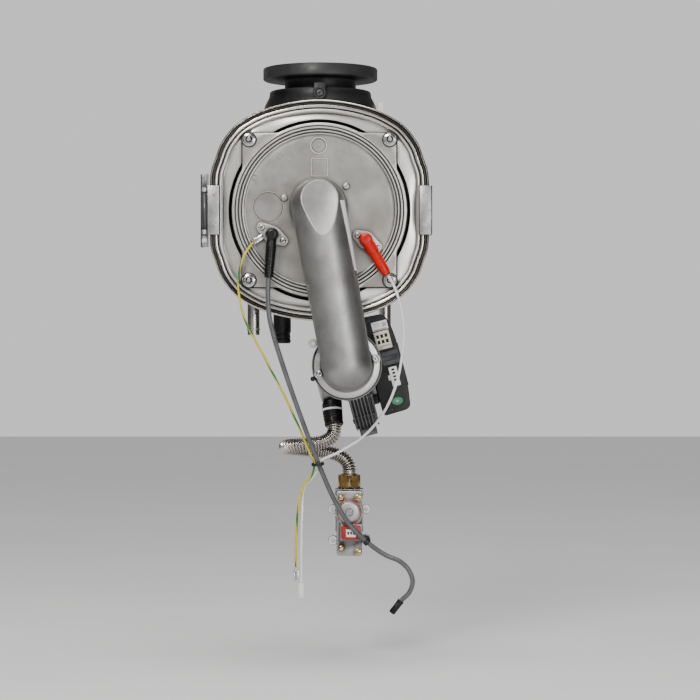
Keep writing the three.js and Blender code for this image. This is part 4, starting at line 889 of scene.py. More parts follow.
def build_duct():
    mat = "sandcast_aluminium"
    rt, rb = 35.3, 32.2
    body = union_all([
        cone3("duct_body", DT, DB, rt, rb, mat), ball("top", DT, rt, mat), ball("low", DB, rb, mat),
        lathe("neck", [(rt, -226), (rt, -192), (rt + 1.6, -189), (rt + 2.6, -187.4), (rt + 2.6, -186.5)], DT[0], DT[2], mat, n=64),
        lathe("foot", [(rb, -236.5), (rb, -211.5), (rb + 1.0, -208.4), (rb + 3.6, -206.2), (rb + 3.6, -203)], DB[0], DB[2], mat, n=64)])
    boolean(body, facet_block(0))
    remesh(body, 0.8, 3)
    body.data.materials.clear()
    body.data.materials.append(M[mat])
    inner = union_all([
        cone3("duct_inner", DT, DB, rt - 3.2, rb - 3.2, mat, 40), ball("top", DT, rt - 3.2, mat, 40), ball("low", DB, rb - 3.2, mat, 40),
        lathe("neck", [(rt - 3.2, -226), (rt - 3.2, -180)], DT[0], DT[2], mat, n=40),
        lathe("foot", [(rb - 3.2, -236.5), (rb - 3.2, -195)], DB[0], DB[2], mat, n=40)])
    boolean(inner, facet_block(3.8))
    boolean(body, inner)
    shade(body, 55)
    parts = [body]
    # flange, machined, with a chamfered edge
    fl = lathe("flange", [(29, -206.3), (41.9, -206.3), (42.6, -206.0), (43, -205.3), (43, -201.3), (42.4, -200.4), (29, -200.4)], DB[0], DB[2], "machined_flange", n=128, closed=True)
    for x, z in SCREWS:
        boolean(fl, lathe("cutter", [(2.4, -210), (2.4, -198)], x, z, mat, n=24))
    shade(fl, 30)
    parts.append(fl)
    # bosses under the flange screws
    for x, z in SCREWS:
        parts.append(lathe("spotface", [(2.5, -206.55), (6.4, -206.55), (6.8, -206.1), (2.5, -206.0)], x, z, "machined_flange", n=40, closed=True))
    # eyelet
    eye = lathe("eyelet", [(2.3, -217.6), (2.7, -218), (5.4, -218), (6, -217.3), (6, -214.7), (5.4, -214), (2.7, -214), (2.3, -214.4)], -8, -174.6, "machined_flange", n=48, closed=True)
    strut = boxo("strut", (-5, -217.6, -178.4), (9.5, -214.2, -170.8), "machined_flange", 0.7)
    boolean(strut, lathe("cutter", [(5.6, -220), (5.6, -210)], -8, -174.6, mat, n=40))
    shade(strut, 35)
    parts += [eye, strut]
    # mould line down the left flank
    a = DB - DT
    L = np.linalg.norm(a)
    d = a / L
    side = np.cross(d, np.array([0, 1.0, 0])); side /= np.linalg.norm(side)
    front = np.cross(side, d); front /= np.linalg.norm(front)
    if front[1] > 0: front = -front
    if side[0] < 0: side = -side
    def on_duct(t, phi, off):
        r = rt + (rb - rt) * t + off
        return DT + a * t + r * (math.cos(math.radians(phi)) * front + math.sin(math.radians(phi)) * side)
    parts.append(tube("mould_line", [on_duct(t, -86, -0.25) for t in np.linspace(0.02, 0.88, 40)], 0.42, mat, n=8))
    # blank strip label on the right flank
    cols, rows = 10, 40
    v, f = [], []
    for off in (0.12, 0.34):
        for j in range(rows + 1):
            t = 0.005 + 0.435 * j / rows
            for i in range(cols + 1):
                v.append(tuple(on_duct(t, 54 + 12.5 * t / 0.44 + 19 * i / cols, off)))
    w = cols + 1
    lay = (rows + 1) * w
    for j in range(rows):
        for i in range(cols):
            q = (j * w + i, j * w + i + 1, (j + 1) * w + i + 1, (j + 1) * w + i)
            f += [tuple(x + lay for x in q), tuple(reversed(q))]
    for j in range(rows):
        f += [(j * w, (j + 1) * w, (j + 1) * w + lay, j * w + lay), (j * w + cols, j * w + cols + lay, (j + 1) * w + cols + lay, (j + 1) * w + cols)]
    for i in range(cols):
        f += [(i, i + lay, i + 1 + lay, i + 1), (rows * w + i, rows * w + i + 1, rows * w + i + 1 + lay, rows * w + i + lay)]
    parts.append(obj_from("strip_label", v, f, "label_paper", 40))
    put(join("duct", parts), "mixing_duct")
    for (x, z), tag in zip(SCREWS, ("left", "right")):
        head = hex_socket_screw("head", x, z, 4.2, -211, -207.9, 2, -192.8, recess=2.1, n=60)
        wash = lathe("washer", [(2.1, -208.0), (4.5, -208.0), (4.7, -207.7), (4.7, -206.9), (4.5, -206.65), (2.1, -206.65)], x, z, "zinc_steel", n=48, closed=True)
        put(join("flange_bolt_" + tag, [head, wash]), "flange_screw_" + tag)
    # non-return flap inside the duct's outlet
    flap = lathe("flap_disc", [(0.05, -211.6), (6, -211.6), (7, -211.8), (20.6, -211.8), (22.4, -211.7), (23, -211.2), (22.4, -210.5), (20.6, -210.3), (0.05, -210.3)], 36, -203.6, "coil_stainless", n=64)
    hinge = tube("hinge", [(27, -211, -178.8), (30, -211, -178.8), (42, -211, -178.8), (45, -211, -178.8)], 1.8, "coil_stainless", n=20)
    arm = boxo("arm", (28.5, -211.7, -185), (43.5, -210.3, -178.8), "coil_stainless", 0.2)
    put(join("flap_all", [flap, hinge, arm]), "non_return_flap", body="flap")
build_duct()

# ------------------------------------------------------------------ fan, in its tilted frame
TILT = math.radians(14.7)
FM = Matrix(((math.cos(TILT), 0, -math.sin(TILT), 0.036), (0, 1, 0, 0), (math.sin(TILT), 0, math.cos(TILT), -0.203), (0, 0, 0, 1)))
def local(x, z):
    dx, dz = x - 36, z + 203
    return (dx * math.cos(TILT) + dz * math.sin(TILT), -dx * math.sin(TILT) + dz * math.cos(TILT))
def world(u, up):
    return (36 + u * math.cos(TILT) - up * math.sin(TILT), -203 + u * math.sin(TILT) + up * math.cos(TILT))
def prism_x(name, pts, x0, x1, mat, bev=0.0, seg=2):
    """outline in Y-Z, thickness along X"""
    n = len(pts)
    verts = [(x0, y, z) for y, z in pts] + [(x1, y, z) for y, z in pts]
    faces = [tuple(range(n)), tuple(range(2 * n - 1, n - 1, -1))] + [(i, (i + 1) % n, n + (i + 1) % n, n + i) for i in range(n)]
    o = obj_from(name, verts, faces, mat, 35)
    if bev:
        bevel(o, bev, seg)
    return o
FY, FU = -108, -20
def spiral(d, n=120):
    out = []
    for i in range(n):
        a = i / n * 2 * math.pi
        r = 58 + 12 * (((a + math.radians(20)) / (2 * math.pi)) % 1) + d
        out.append((FY - r * math.cos(a), FU + r * math.sin(a)))
    return out
def build_fan():
    mat = "dark_casting"
    # gasket between the duct's flange and the fan
    knob = local(-8.4, -220.6)
    g = lathe("gasket", [(31, -200), (43.4, -200), (44.0, -199.6), (44.0, -197.8), (43.4, -197.35), (31, -197.35)], 0, 0, "black_rubber", n=96, closed=True)
    for s in SCREWS:
        boolean(g, lathe("cutter", [(2.5, -203), (2.5, -195)], *local(*s), "black_rubber", n=20))
    parts = [g, lathe("knob", [(0.1, -203), (2.4, -203), (3.1, -202.2), (3.2, -201), (3.2, -198), (2.4, -197.4), (2.4, -195.4), (3.2, -194.8), (3.2, -191.8), (2.4, -191), (0.1, -191)], knob[0], knob[1], "black_rubber", n=36),
             boxo("bridge", (knob[0], -199.6, knob[1] - 2), (knob[0] + 8, -197.8, knob[1] + 2), "black_rubber", 0.3)]
    o = join("gasket_all", parts)
    o.data.transform(FM)
    put(o, "fan_gasket")
    # scroll casing
    raw = [prism_x("scroll", spiral(0), -10, 19, mat, 2.2, 3), cone3("neck", (0, -192.6, 0), (4, -150, -6), 37, 24, mat, 56)]
    for u in (-8.2, -3.6, 1.0, 5.6, 10.2, 14.8):
        raw.append(prism_x("rib", spiral(1.8), u - 0.85, u + 0.85, mat, 0.35, 1))
    body = union_all(raw)
    # axial ribs on the visible lower front of the casing
    for k in range(2):
        a = math.radians(-72 + 26 * k)
        r = 58 + 12 * (((a + math.radians(20)) / (2 * math.pi)) % 1)
        m = Matrix.Translation(Vector((0, FY - (r) * math.cos(a), FU + (r) * math.sin(a))) * MM) @ Matrix.Rotation(a, 4, "X").inverted()
        rib = boxo("rib", (-9.2, -1.5, -0.8), (18.4, 3.0, 0.8), mat, 0.3, 1)
        rib.data.transform(Matrix.Translation(Vector((0, FY - r * math.cos(a), FU + r * math.sin(a))) * MM) @ Matrix.Rotation(-a, 4, "X"))
        boolean(body, rib, "UNION")
    # ribs of the neck behind the flange
    for k in range(16):
        t = 2 * math.pi * (k + 0.5) / 16
        cx, cz = 36.0 * math.cos(t), 36.0 * math.sin(t)
        rib = boxo("rib", (-4.5, -191.5, -0.9), (2.8, -176, 0.9), mat, 0.3, 1)
        rib.data.transform(Matrix.Translation(Vector((cx, 0, cz)) * MM) @ Matrix.Rotation(-t, 4, "Y"))
        boolean(body, rib, "UNION")
    foot = boxo("foot", (-6, FY - 14, -99), (17, FY + 14, -84), mat, 1.2, 2)
    boolean(body, foot, "UNION")
    cut = boxo("cut", (19.05, -189, -80), (45, -20, 60), mat)
    boolean(body, cut)
    inner = prism_x("inner", spiral(-4), -6, 20.5, mat)
    inner2 = cone3("inner2", (0, -199, 0), (4, -140, -6), 29, 15, mat, 40)
    boolean(body, inner)
    boolean(body, inner2)
    inlet = lathe("inlet", [(20, -12), (20, -4)], FY, FU, mat, axis="x", n=48)
    boolean(body, inlet)
    shade(body, 40)
    fl = lathe("flange", [(29.5, -197), (45.2, -197), (45.9, -196.4), (45.9, -191.2), (45.2, -190.5), (29.5, -190.5)], 0, 0, "flange_casting", n=112, closed=True)
    for s in SCREWS:
        boolean(fl, lathe("cutter", [(2.4, -199), (2.4, -191.8)], *local(*s), mat, n=20))
    shade(fl, 35)
    parts = [body, fl]
    for s in SCREWS:
        u, w = local(*s)
        parts.append(lathe("insert", [(2.4, -197.1), (3.6, -197.1), (3.8, -196.8), (2.4, -196.6)], u, w, "brass", n=28, closed=True))
        if False:
            parts.append(None)
    # pressed-in screws round the casing joint
    for k in range(6):
        a = math.radians(28 + 60 * k)
        r = 56.0
        y, z = FY - r * math.cos(a), FU + r * math.sin(a)
        if y > -150:
            parts.append(lathe("boss", [(0.1, -11.4), (2.6, -11.4), (3.2, -10.8), (3.4, -9.6), (0.1, -9.6)], y, z, mat, axis="x", n=24))
    o = join("scroll_all", parts)
    o.data.transform(FM)
    put(o, "fan_scroll")
    # motor plate
    plate = union_all([prism_x("motor_plate", spiral(0), 19.3, 22.3, mat, 0.5, 2), lathe("can", [(41, 21.5), (41, 28.4), (39.6, 30), (4.6, 30), (4.6, 21.5)], FY, FU, mat, axis="x", n=72, closed=True)])
    boolean(plate, lathe("cutter", [(4.6, 15), (4.6, 33)], FY, FU, mat, axis="x", n=32))
    lug = boxo("lug", (20, FY - 62, -46), (29, FY - 50, -36), mat, 1.2, 2)
    boolean(plate, lug, "UNION")
    shade(plate, 38)
    parts = [plate]
    for k in range(12):
        t = 2 * math.pi * k / 12
        r0 = boxo("fin", (22.0, 31.0, -0.8), (29.0, 40.6, 0.8), mat, 0.25, 1)
        r0.data.transform(Matrix.Translation(Vector((0, FY, FU)) * MM) @ Matrix.Rotation(t, 4, "X"))
        if True:
            parts.append(r0)
    o = join("motor_plate_all", parts)
    o.data.transform(FM)
    put(o, "fan_motor_plate")
build_fan()

def build_cover():
    mat = "charcoal_plastic"
    COVER = [(30.3, -77.5), (62, -76.5), (67.5, -73), (70.6, -52), (72, -22), (71, 20), (69.5, 34), (66.5, 47), (61, 54), (30.3, 56)]
    # smooth the outline's corners
    def chaikin(p, k=2):
        for _ in range(k):
            q = []
            for i in range(len(p)):
                a, b = p[i], p[(i + 1) % len(p)]
                l = math.hypot(b[0] - a[0], b[1] - a[1])
                w = min(0.25, 2.2 / max(l, 0.01))
                q += [(a[0] + (b[0] - a[0]) * w, a[1] + (b[1] - a[1]) * w), (b[0] + (a[0] - b[0]) * w, b[1] + (a[1] - b[1]) * w)]
            p = q
        return p
    outer = prism("cover", chaikin(COVER), -165, -55, mat, 2.6, 5)
    inside = [(u - 3.2 if u > 31 else u - 2, min(w, 51.5) if w > 0 else max(w, -73)) for u, w in COVER]
    boolean(outer, prism("inside", inside, -161, -59, mat))
    boolean(outer, boxo("open", (20, -170, -90), (30.3, -50, 70), mat))
    shade(outer, 40)
    parts = [outer]
    # plug guard block with its rails
    guard = prism("guard", rrect(12, 9, 1.5, 5, 57.2, -4.7), -172.5, -163.5, "guard_plastic", 0.7, 3)
    boolean(guard, boxo("slot", (47.0, -174, -8.2), (67.5, -170.6, -1.2), "guard_plastic", 0.5))
    shade(guard, 38)
    parts.append(guard)
    for w in (-7.0, -4.7, -2.4):
        parts.append(boxo("rail", (49, -171.9, w - 0.5), (65.6, -170.4, w + 0.5), "guard_plastic", 0.25))
    # seats of the two plugs
    for cu, cw, hw, hh in ((53.8, 20, 11.6, 13.4), (56.8, -29.9, 6.8, 14.2)):
        o1, o2 = rrect(hw, hh, 1.4, 4, cu, cw), rrect(hw - 1.2, hh - 1.2, 0.9, 4, cu, cw)
        n = len(o1)
        v, f = [], []
        for pts, y in ((o1, -164.0), (o1, -165.9), (o2, -165.9), (o2, -164.0)):
            v += [(x, y, z) for x, z in pts]
        for j in range(3):
            for i in range(n):
                f.append((j * n + i, j * n + (i + 1) % n, (j + 1) * n + (i + 1) % n, (j + 1) * n + i))
        parts.append(obj_from("seat", v, f, mat, 30))
    # blank label, its fine grey blocks stand for print without any lettering
    parts.append(prism("label", rrect(10.5, 6.5, 0.8, 3, 54.7, 38.9), -165.45, -164.5, "label_paper", 0.08, 1))
    rnd = random.Random(3)
    for r in range(3):
        w = 38.9 + 4.0 - 2.0 * r
        parts.append(prism("mark", rrect(4.4 - 0.8 * (r % 2), 0.34, 0.15, 2, 50.2 + 0.3 * r, w), -165.52, -165.2, "label_grey"))
    parts.append(prism("mark", rrect(2.6, 2.6, 0.2, 2, 60.8, 39.9), -165.52, -165.2, "label_grey"))
    parts.append(prism("mark", rrect(8.6, 0.9, 0.2, 2, 54.7, 34.6), -165.52, -165.2, "label_grey"))
    # oval sticker
    ov = [(52.5 + 7 * math.cos(2 * math.pi * i / 40), -62.4 + 5 * math.sin(2 * math.pi * i / 40)) for i in range(40)]
    parts.append(prism("sticker", ov, -165.42, -164.5, "sticker_green", 0.08, 1))
    ov = [(52.5 + 2.2 * math.cos(2 * math.pi * i / 32), -62.4 + 1.5 * math.sin(2 * math.pi * i / 32)) for i in range(32)]
    parts.append(prism("sticker_field", ov, -165.5, -165.2, "label_grey"))
    # small features on the front: snap windows
    for w in (-72.0, 49.5):
        parts.append(boxo("snap", (36.0, -166.4, w - 1.6), (44.0, -164.2, w + 1.6), mat, 0.5))
        # a dark sheet sunk into each snap: painted shade in its window
        parts.append(boxo("snap_gap", (37.4, -166.55, w - 0.5), (42.6, -166.0, w + 0.5), "hole_shade_black", 0.1))
    # ribs of the right-hand flank
    for k in range(7):
        y = -152 + 14 * k
        parts.append(boxo("flank_rib", (68.6, y - 0.7, -46), (72.4, y + 0.7, 12), mat, 0.4))
    o = join("cover_all", parts)
    o.data.transform(FM)
    put(o, "fan_electronics_cover")
    # power plug: cream housing with wire holes and a latch
    m2 = "cream_plastic"
    body = prism("plug", rrect(10.3, 12, 1, 4, 53.8, 20), -176, -165.6, m2, 0.5, 2)
    ledge = boxo("ledge", (44.5, -180, 13), (63, -175, 31), m2, 0.6, 2)
    boolean(body, ledge, "UNION")
    for r in range(2):
        for c_ in range(3):
            boolean(body, boxo("hole", (46.3 + 5.6 * c_, -182, 15.6 + 7.4 * r), (50.1 + 5.6 * c_, -176.5, 20.4 + 7.4 * r), m2))
    shade(body, 32)
    # a dark sheet behind the wire holes: painted shade inside them
    parts = [body, boxo("back", (46, -177.2, 14.4), (62.2, -176.6, 29.6), "hole_shade_black", 0.0)]
    parts.append(boxo("latch", (50.4, -178.4, 8.4), (57.4, -175.6, 12.4), m2, 0.5))
    for k in range(3):
        parts.append(boxo("grip", (51, -178.8, 9.0 + 1.1 * k), (56.8, -178.2, 9.5 + 1.1 * k), m2, 0.15))
    o = join("power_plug_all", parts)
    o.data.transform(FM)
    put(o, "fan_power_plug")
    m3 = "white_plastic"
    body = prism("plug", rrect(5.4, 12.8, 0.8, 4, 56.8, -29.9), -174, -165.6, m3, 0.45, 2)
    for k in range(5):
        w = -39.2 + 4.65 * k
        boolean(body, boxo("hole", (54.9, -176, w - 1.3), (58.7, -171, w + 1.3), m3))
    shade(body, 32)
    # a dark sheet behind the wire holes: painted shade inside them
    parts = [body, boxo("back", (54.4, -172.2, -41.2), (59.2, -171.2, -18.6), "hole_shade_black", 0.0)]
    parts.append(boxo("latch", (48.6, -170, -34), (51.7, -165.7, -27), m3, 0.5))
    parts.append(boxo("latch_bar", (48.4, -171.2, -33), (56.0, -170.2, -28), m3, 0.35))
    o = join("signal_plug_all", parts)
    o.data.transform(FM)
    put(o, "fan_signal_plug")
build_cover()

def build_rotor():
    mat = "coil_stainless"
    parts = [lathe("back_disc", [(4.4, 10.4), (9, 10.2), (49.4, 10.2), (50, 10.7), (50, 11.5), (49.4, 12), (4.4, 12)], FY, FU, mat, axis="x", n=72, closed=True),
             lathe("hub", [(4.4, 1), (7.6, 1), (8.8, 2), (9, 4), (9, 10.6), (4.4, 10.6)], FY, FU, mat, axis="x", n=40, closed=True),
             lathe("front_ring", [(33, -2.2), (33, -3.2), (34, -3.4), (49.4, -3.2), (50, -2.7), (49.4, -2.0)], FY, FU, mat, axis="x", n=72, closed=True)]
    for i in range(8):
        # backward-curved blade
        pts = []
        for j in range(9):
            r = 22.9 + 26.4 * j / 8
            a = -0.42 * ((j / 8) ** 1.3)
            pts.append((r * math.cos(a), r * math.sin(a)))
        left = [(p[0], p[1]) for p in pts]
        verts, faces = [], []
        for x in (-2.8, 10.4):
            for s in (-0.7, 0.7):
                for k, (a, b) in enumerate(pts):
                    q = pts[min(k + 1, 8)]; p = pts[max(k - 1, 0)]
                    tx, tz = q[0] - p[0], q[1] - p[1]
                    l = math.hypot(tx, tz)
                    verts.append((x, a - tz / l * s, b + tx / l * s))
        n = 9
        for k in range(n - 1):
            faces += [(k, k + 1, n + k + 1, n + k), (2 * n + k, 3 * n + k, 3 * n + k + 1, 2 * n + k + 1), (k, 2 * n + k, 2 * n + k + 1, k + 1), (n + k, n + k + 1, 3 * n + k + 1, 3 * n + k)]
        faces += [(0, n, 3 * n, 2 * n), (n - 1, 3 * n - 1, 4 * n - 1, 2 * n - 1)]
        b = obj_from("blade", verts, faces, mat, 40)
        b.data.transform(Matrix.Translation(Vector((0, FY, FU)) * MM) @ Matrix.Rotation(i * math.pi / 4, 4, "X"))
        parts.append(b)
    o = join("impeller_all", parts)
    o.data.transform(FM)
    put(o, "impeller", body="fan_rotor")
    parts = [lathe("shaft", [(0.05, -1), (3.4, -1), (4, -0.4), (4, 30.5), (3.4, 30.6), (3.4, 31.2), (4, 31.5), (4, 46.4), (3.4, 47), (0.05, 47)], FY, FU, mat, axis="x", n=32),
             lathe("magnet", [(3.9, 31.5), (18.4, 31.5), (19, 32.1), (19, 44.4), (18.4, 45), (3.9, 45)], FY, FU, "dark_casting", axis="x", n=56, closed=True)]
    o = join("rotor_all", parts)
    o.data.transform(FM)
    put(o, "rotor_shaft", body="fan_rotor")
    # mixer with its bell mouth and gas stub
    m4 = "valve_casting"
    stub, top = local(16.2, -261), local(15.6, -228)
    mx = lathe("mixer", [(12, -45), (18.2, -45), (20.4, -44.4), (21.4, -43), (20.9, -41), (20.1, -39.4), (20, -37), (20, -16), (21, -14.4), (26.2, -13.2), (27, -12.6), (27, -10.6), (12, -10.6)], FY, FU, m4, axis="x", n=72, closed=True)
    st = cone3("stub", (top[0], FY, top[1]), (stub[0], FY, stub[1]), 9, 9, m4, 40)
    boolean(mx, st, "UNION")
    boolean(mx, lathe("cutter", [(12.02, -48), (12.02, -8)], FY, FU, m4, axis="x", n=64))
    shade(mx, 38)
    parts = [mx]
    for k in range(3):
        t = math.radians(50 + 120 * k)
        parts.append(lathe("screw", [(0.1, -14.9), (1.6, -14.9), (2.3, -14.3), (2.4, -13.1), (0.1, -13.1)], FY + 23.6 * math.cos(t), FU + 23.6 * math.sin(t), "zinc_steel", axis="x", n=24))
    o = join("mixer_all", parts)
    o.data.transform(FM)
    put(o, "mixer_body")
build_rotor()

# ------------------------------------------------------------------ gas line and valve
def build_gas():
    # rubber cuff between the mixer's stub and the corrugated hose
    pts = catmull([(15.7, -108, -241), (15.9, -108.4, -250), (16.2, -110.3, -261.5), (17.3, -113.4, -272), (19, -117.5, -284)], 14)
    pts, s = resample(pts, 0.5)
    L = s[-1]
    def rad(q):
        r = 13.0
        if 10 < q < 24: r += 0.45 * math.sin(math.pi * (q - 10) / 14)
        if q > 24: r = 13.2 - 1.0 * (q - 24) / (L - 24)
        for c0, w, h in ((3.2, 1.6, 0.45), (18.5, 1.1, -0.5), (27.0, 0.8, 0.45), (30.6, 0.8, 0.45), (34.2, 0.8, 0.45), (L - 2.2, 1.5, 0.55)):
            d = abs(q - c0)
            if d < w: r += h * (0.5 + 0.5 * math.cos(math.pi * d / w))
        if q > L - 0.8: r -= 0.6 * (q - L + 0.8) / 0.8
        return r
    cuff = tube("cuff", pts, rad, "black_rubber", n=56)
    sad = lathe("saddle", [(21.9, -48), (21.9, -6)], FY, FU, "black_rubber", axis="x", n=72)
    sad.data.transform(FM)
    boolean(cuff, sad)
    boolean(cuff, cone3("bore", (15.6, -108, -228), (16.2, -108, -261.5), 9.4, 9.4, "black_rubber", 40))
    boolean(cuff, cone3("bore", (17.4, -113.5, -271.9), (19.4, -118.4, -287), 9.9, 9.9, "black_rubber", 40))
    shade(cuff, 45)
    # thin pale marking band set into the cuff
    k = int(np.argmin(abs(s - 22.6)))
    d = pts[k + 1] - pts[k - 1]; d /= np.linalg.norm(d)
    band = tube("band", [pts[k] - d * 1.5, pts[k] - d * 1.2, pts[k], pts[k] + d * 1.2, pts[k] + d * 1.5], [13.1, 13.75, 13.8, 13.75, 13.1], "label_paper", n=56)
    put(join("cuff_all", [cuff, band]), "gas_cuff")
    # corrugated hose
    H = [(17.6, -114, -272.6), (19.2, -118, -285), (17.5, -121, -296), (7, -124, -304.5), (-10, -126, -308), (-27, -126, -310), (-40, -121, -311.5), (-45.5, -110.5, -313), (-40, -100, -314.5), (-27, -95, -316.5), (-10, -94.4, -318.5), (8, -94.6, -320.5), (22, -95, -324), (32, -95, -330), (37.6, -95, -338), (39, -95, -345.5), (39, -95, -350)]
    path, s = resample(catmull(H, 16), 0.30)
    L = s[-1]
    def hr(q):
        if q < 9: return 8.9
        if q > L - 4: return 8.3
        return 7.3 + 2.5 * (0.5 + 0.5 * math.cos(2 * math.pi * q / 3.3)) ** 0.8
    hose = tube("hose", path, hr, "corrugated_stainless", n=32, s=s)
    shade(hose, 75)
    put(hose, "gas_hose")
    # union nut
    def hexz(prof, n=96):
        rings = []
        for fn, z in prof:
            ring = []
            for i in range(n):
                t = 2 * math.pi * i / n
                r = fn(t) if callable(fn) else fn
                ring.append((39 + r * math.cos(t), -95 + r * math.sin(t), z))
            rings.append(ring)
        return loft("nut", rings, "brass", closed_v=True, cap=False, angle=28)
    af = 17.2 * math.cos(math.pi / 6)
    ph = math.pi / 6
    nut = hexz([(9.3, -350.6), (11.5, -350.5), (hexr(af, ph, 14.6), -350.9), (hexr(af, ph, 15.9), -351.6), (hexr(af, ph), -352.6), (hexr(af, ph), -366.2), (hexr(af, ph, 16.2), -367.2), (hexr(af, ph, 15.2), -368.2), (9.3, -368.2)])
    collar = lathe("collar", [(9.2, -349.4), (10.6, -349.4), (11.2, -350.2), (11.2, -352), (9.2, -352)], 39, -95, "brass", axis="z", n=56, closed=True)
    put(join("union_nut", [nut, collar]), "gas_nut")

def build_valve():
    mat = "valve_casting"
    B = [prism("body", rrect(17, 43, 3.5, 6, 39, -413.5), -134.6, -60, mat, 1.0, 2), prism("top", rrect(19, 4.5, 1.8, 4, 39, -373.7), -114, -76, mat, 0.8, 2), boxo("rear", (26, -60.8, -440), (52, -50, -390), mat, 1.4, 3)]
    EARS = [(17.5, -394.6, 1), (61, -394.6, -1), (17.5, -436, 1), (61, -434, -1)]
    for x, z, s in EARS:
        B.append(lathe("ear", [(0.1, -133.5), (5.6, -133.5), (6.4, -132.8), (6.4, -126.8), (5.9, -126), (0.1, -126)], x, z, mat, n=36))
        B.append(boxo("arm", (min(x, x + s * 9), -133.1, z - 5.3), (max(x, x + s * 9), -126.3, z + 5.3), mat, 0.4, 2))
    B.append(lathe("cover_land", [(0.1, -135.0), (17.6, -135.0), (18.6, -134.2), (18.6, -130), (0.1, -130)], 39, -398, mat, n=72))
    B.append(prism("coil_land", rrect(14.6, 11.0, 2, 5, 41.5, -425.4), -135.0, -130, mat, 0.6, 2))
    B.append(lathe("screw_land", [(0.1, -135.2), (5.6, -135.2), (6.2, -134.6), (6.2, -130), (0.1, -130)], 50.6, -379.6, mat, n=36))
    B.append(lathe("screw_land", [(0.1, -135.2), (5.0, -135.2), (5.6, -134.6), (5.6, -130), (0.1, -130)], 50.0, -450.6, mat, n=36))
    body = union_all(B)
    for x, z, s in EARS:
        boolean(body, lathe("cutter", [(2.9, -138), (2.9, -120)], x, z, mat, n=24))
    boolean(body, lathe("cutter", [(9, -460), (9, -394)], 39, -92, mat, axis="z", n=40))
    boolean(body, lathe("cutter", [(5, -380), (5, -360)], 39, -95, mat, axis="z", n=32))
    for z in (-379.6, -452):
        boolean(body, lathe("cutter", [(3.3, -138), (3.3, -124)], 50.6, z, mat, n=24))
    boolean(body, lathe("cutter", [(8, -138), (8, -128)], 39, -398, mat, n=40))
    shade(body, 38)
    parts = [body]
    # side plugs, pressure test nipple and ribs on the flanks
    parts.append(lathe("test_nipple", [(0.1, -139.2), (2.2, -139.2), (2.6, -138.8), (2.6, -136.6), (3.6, -136.2), (3.9, -135.4), (3.9, -134), (0.1, -134)], 28.6, -379.8, "brass", n=28))
    parts.append(lathe("inlet_nipple", [(0.1, -139.0), (2.2, -139.0), (2.6, -138.6), (2.6, -136.6), (3.6, -136.2), (3.9, -135.4), (3.9, -134), (0.1, -134)], 28.6, -446.8, "brass", n=28))
    for x, s in ((22.0, -1), (56.0, 1)):
        for k in range(4):
            y = -124 + 15 * k
            lo, hi = (min(x, x + s * 1.6), max(x, x + s * 1.6))
            parts.append(boxo("rib", (lo - 0.4 if s > 0 else lo, y - 1, -425), (hi if s > 0 else hi + 0.4, y + 1, -405), mat, 0.4))
    put(join("valve_body_all", parts), "gas_valve_body")
    put(lathe("ring", [(8.4, -136.9), (15.6, -136.9), (16.4, -136.4), (16.4, -135.4), (8.4, -135.4)], 39, -398, "red_plastic", n=72, closed=True), "valve_gasket")
    cov = lathe("cap", [(0.05, -145.2), (5.0, -145.2), (5.6, -146), (11.4, -146), (12.8, -145.6), (14.4, -144.2), (15, -143.2), (15, -137.2), (7.6, -137.2), (7.6, -130.4), (0.05, -130.4)], 39, -398, mat, n=72)
    parts = [cov]
    for k in range(18):
        t = 2 * math.pi * k / 18
        r0 = boxo("rib", (14.3, -143.0, -0.6), (15.35, -137.8, 0.6), mat, 0.2, 1)
        r0.data.transform(Matrix.Translation(Vector((39, 0, -398)) * MM) @ Matrix.Rotation(t, 4, "Y"))
        parts.append(r0)
    put(join("valve_cap_all", parts), "gas_valve_cover")
    box = prism("coil_box", rrect(12.5, 9, 1.6, 5, 41.5, -425.4), -146, -135.3, "red_plastic", 0.7, 3)
    boolean(box, prism("well", rrect(7.2, 5.6, 0.8, 4, 41.5, -425.4), -150, -141, "red_plastic"))
    shade(box, 36)
    parts = [box]
    for k in range(3):
        parts.append(boxo("rib", (29.6 + 1.3 * k, -146.35, -431), (30.2 + 1.3 * k, -145.6, -420), "red_plastic", 0.15))
    put(join("coil_box_all", parts), "valve_coil_box")
    pl = prism("plug", rrect(6.8, 5.2, 0.8, 4, 41.5, -425.4), -150, -141.3, "white_plastic", 0.5, 2)
    for k in range(3):
        boolean(pl, boxo("hole", (36.4 + 3.8 * k, -152, -427.2), (39.0 + 3.8 * k, -147, -423.6), "white_plastic"))
    shade(pl, 34)
    # a dark sheet behind the contact holes: painted shade inside them
    put(join("valve_plug_all", [pl, boxo("back", (36.0, -148.2, -427.6), (47.0, -147.2, -423.2), "hole_shade_black")]), "valve_plug")
    for name, z, body_name in (("throttle_screw", -379.6, "throttle"), ("offset_screw", -452, "offset")):
        o = lathe(name, [(0.05, -139.2), (3.4, -139.2), (4.3, -138.8), (4.6, -138.2), (4.6, -136.3), (4.2, -135.5), (3, -135.4), (3, -134.4), (2.7, -134), (3, -133.4), (3, -126.4), (0.05, -126)], 50.6, z, "brass", n=48)
        boolean(o, boxo("slot", (45, -141, z - 0.6), (56, -138.0, z + 0.6), "brass"))
        shade(o, 34)
        # knurled edge
        parts = [o]
        for k in range(24):
            t = 2 * math.pi * k / 24
            r0 = boxo("knurl", (4.35, -138.0, -0.22), (4.78, -136.5, 0.22), "brass")
            r0.data.transform(Matrix.Translation(Vector((50.6, 0, z)) * MM) @ Matrix.Rotation(t, 4, "Y"))
            parts.append(r0)
        put(join(name + "_all", parts), name, body=body_name)
build_gas()
build_valve()

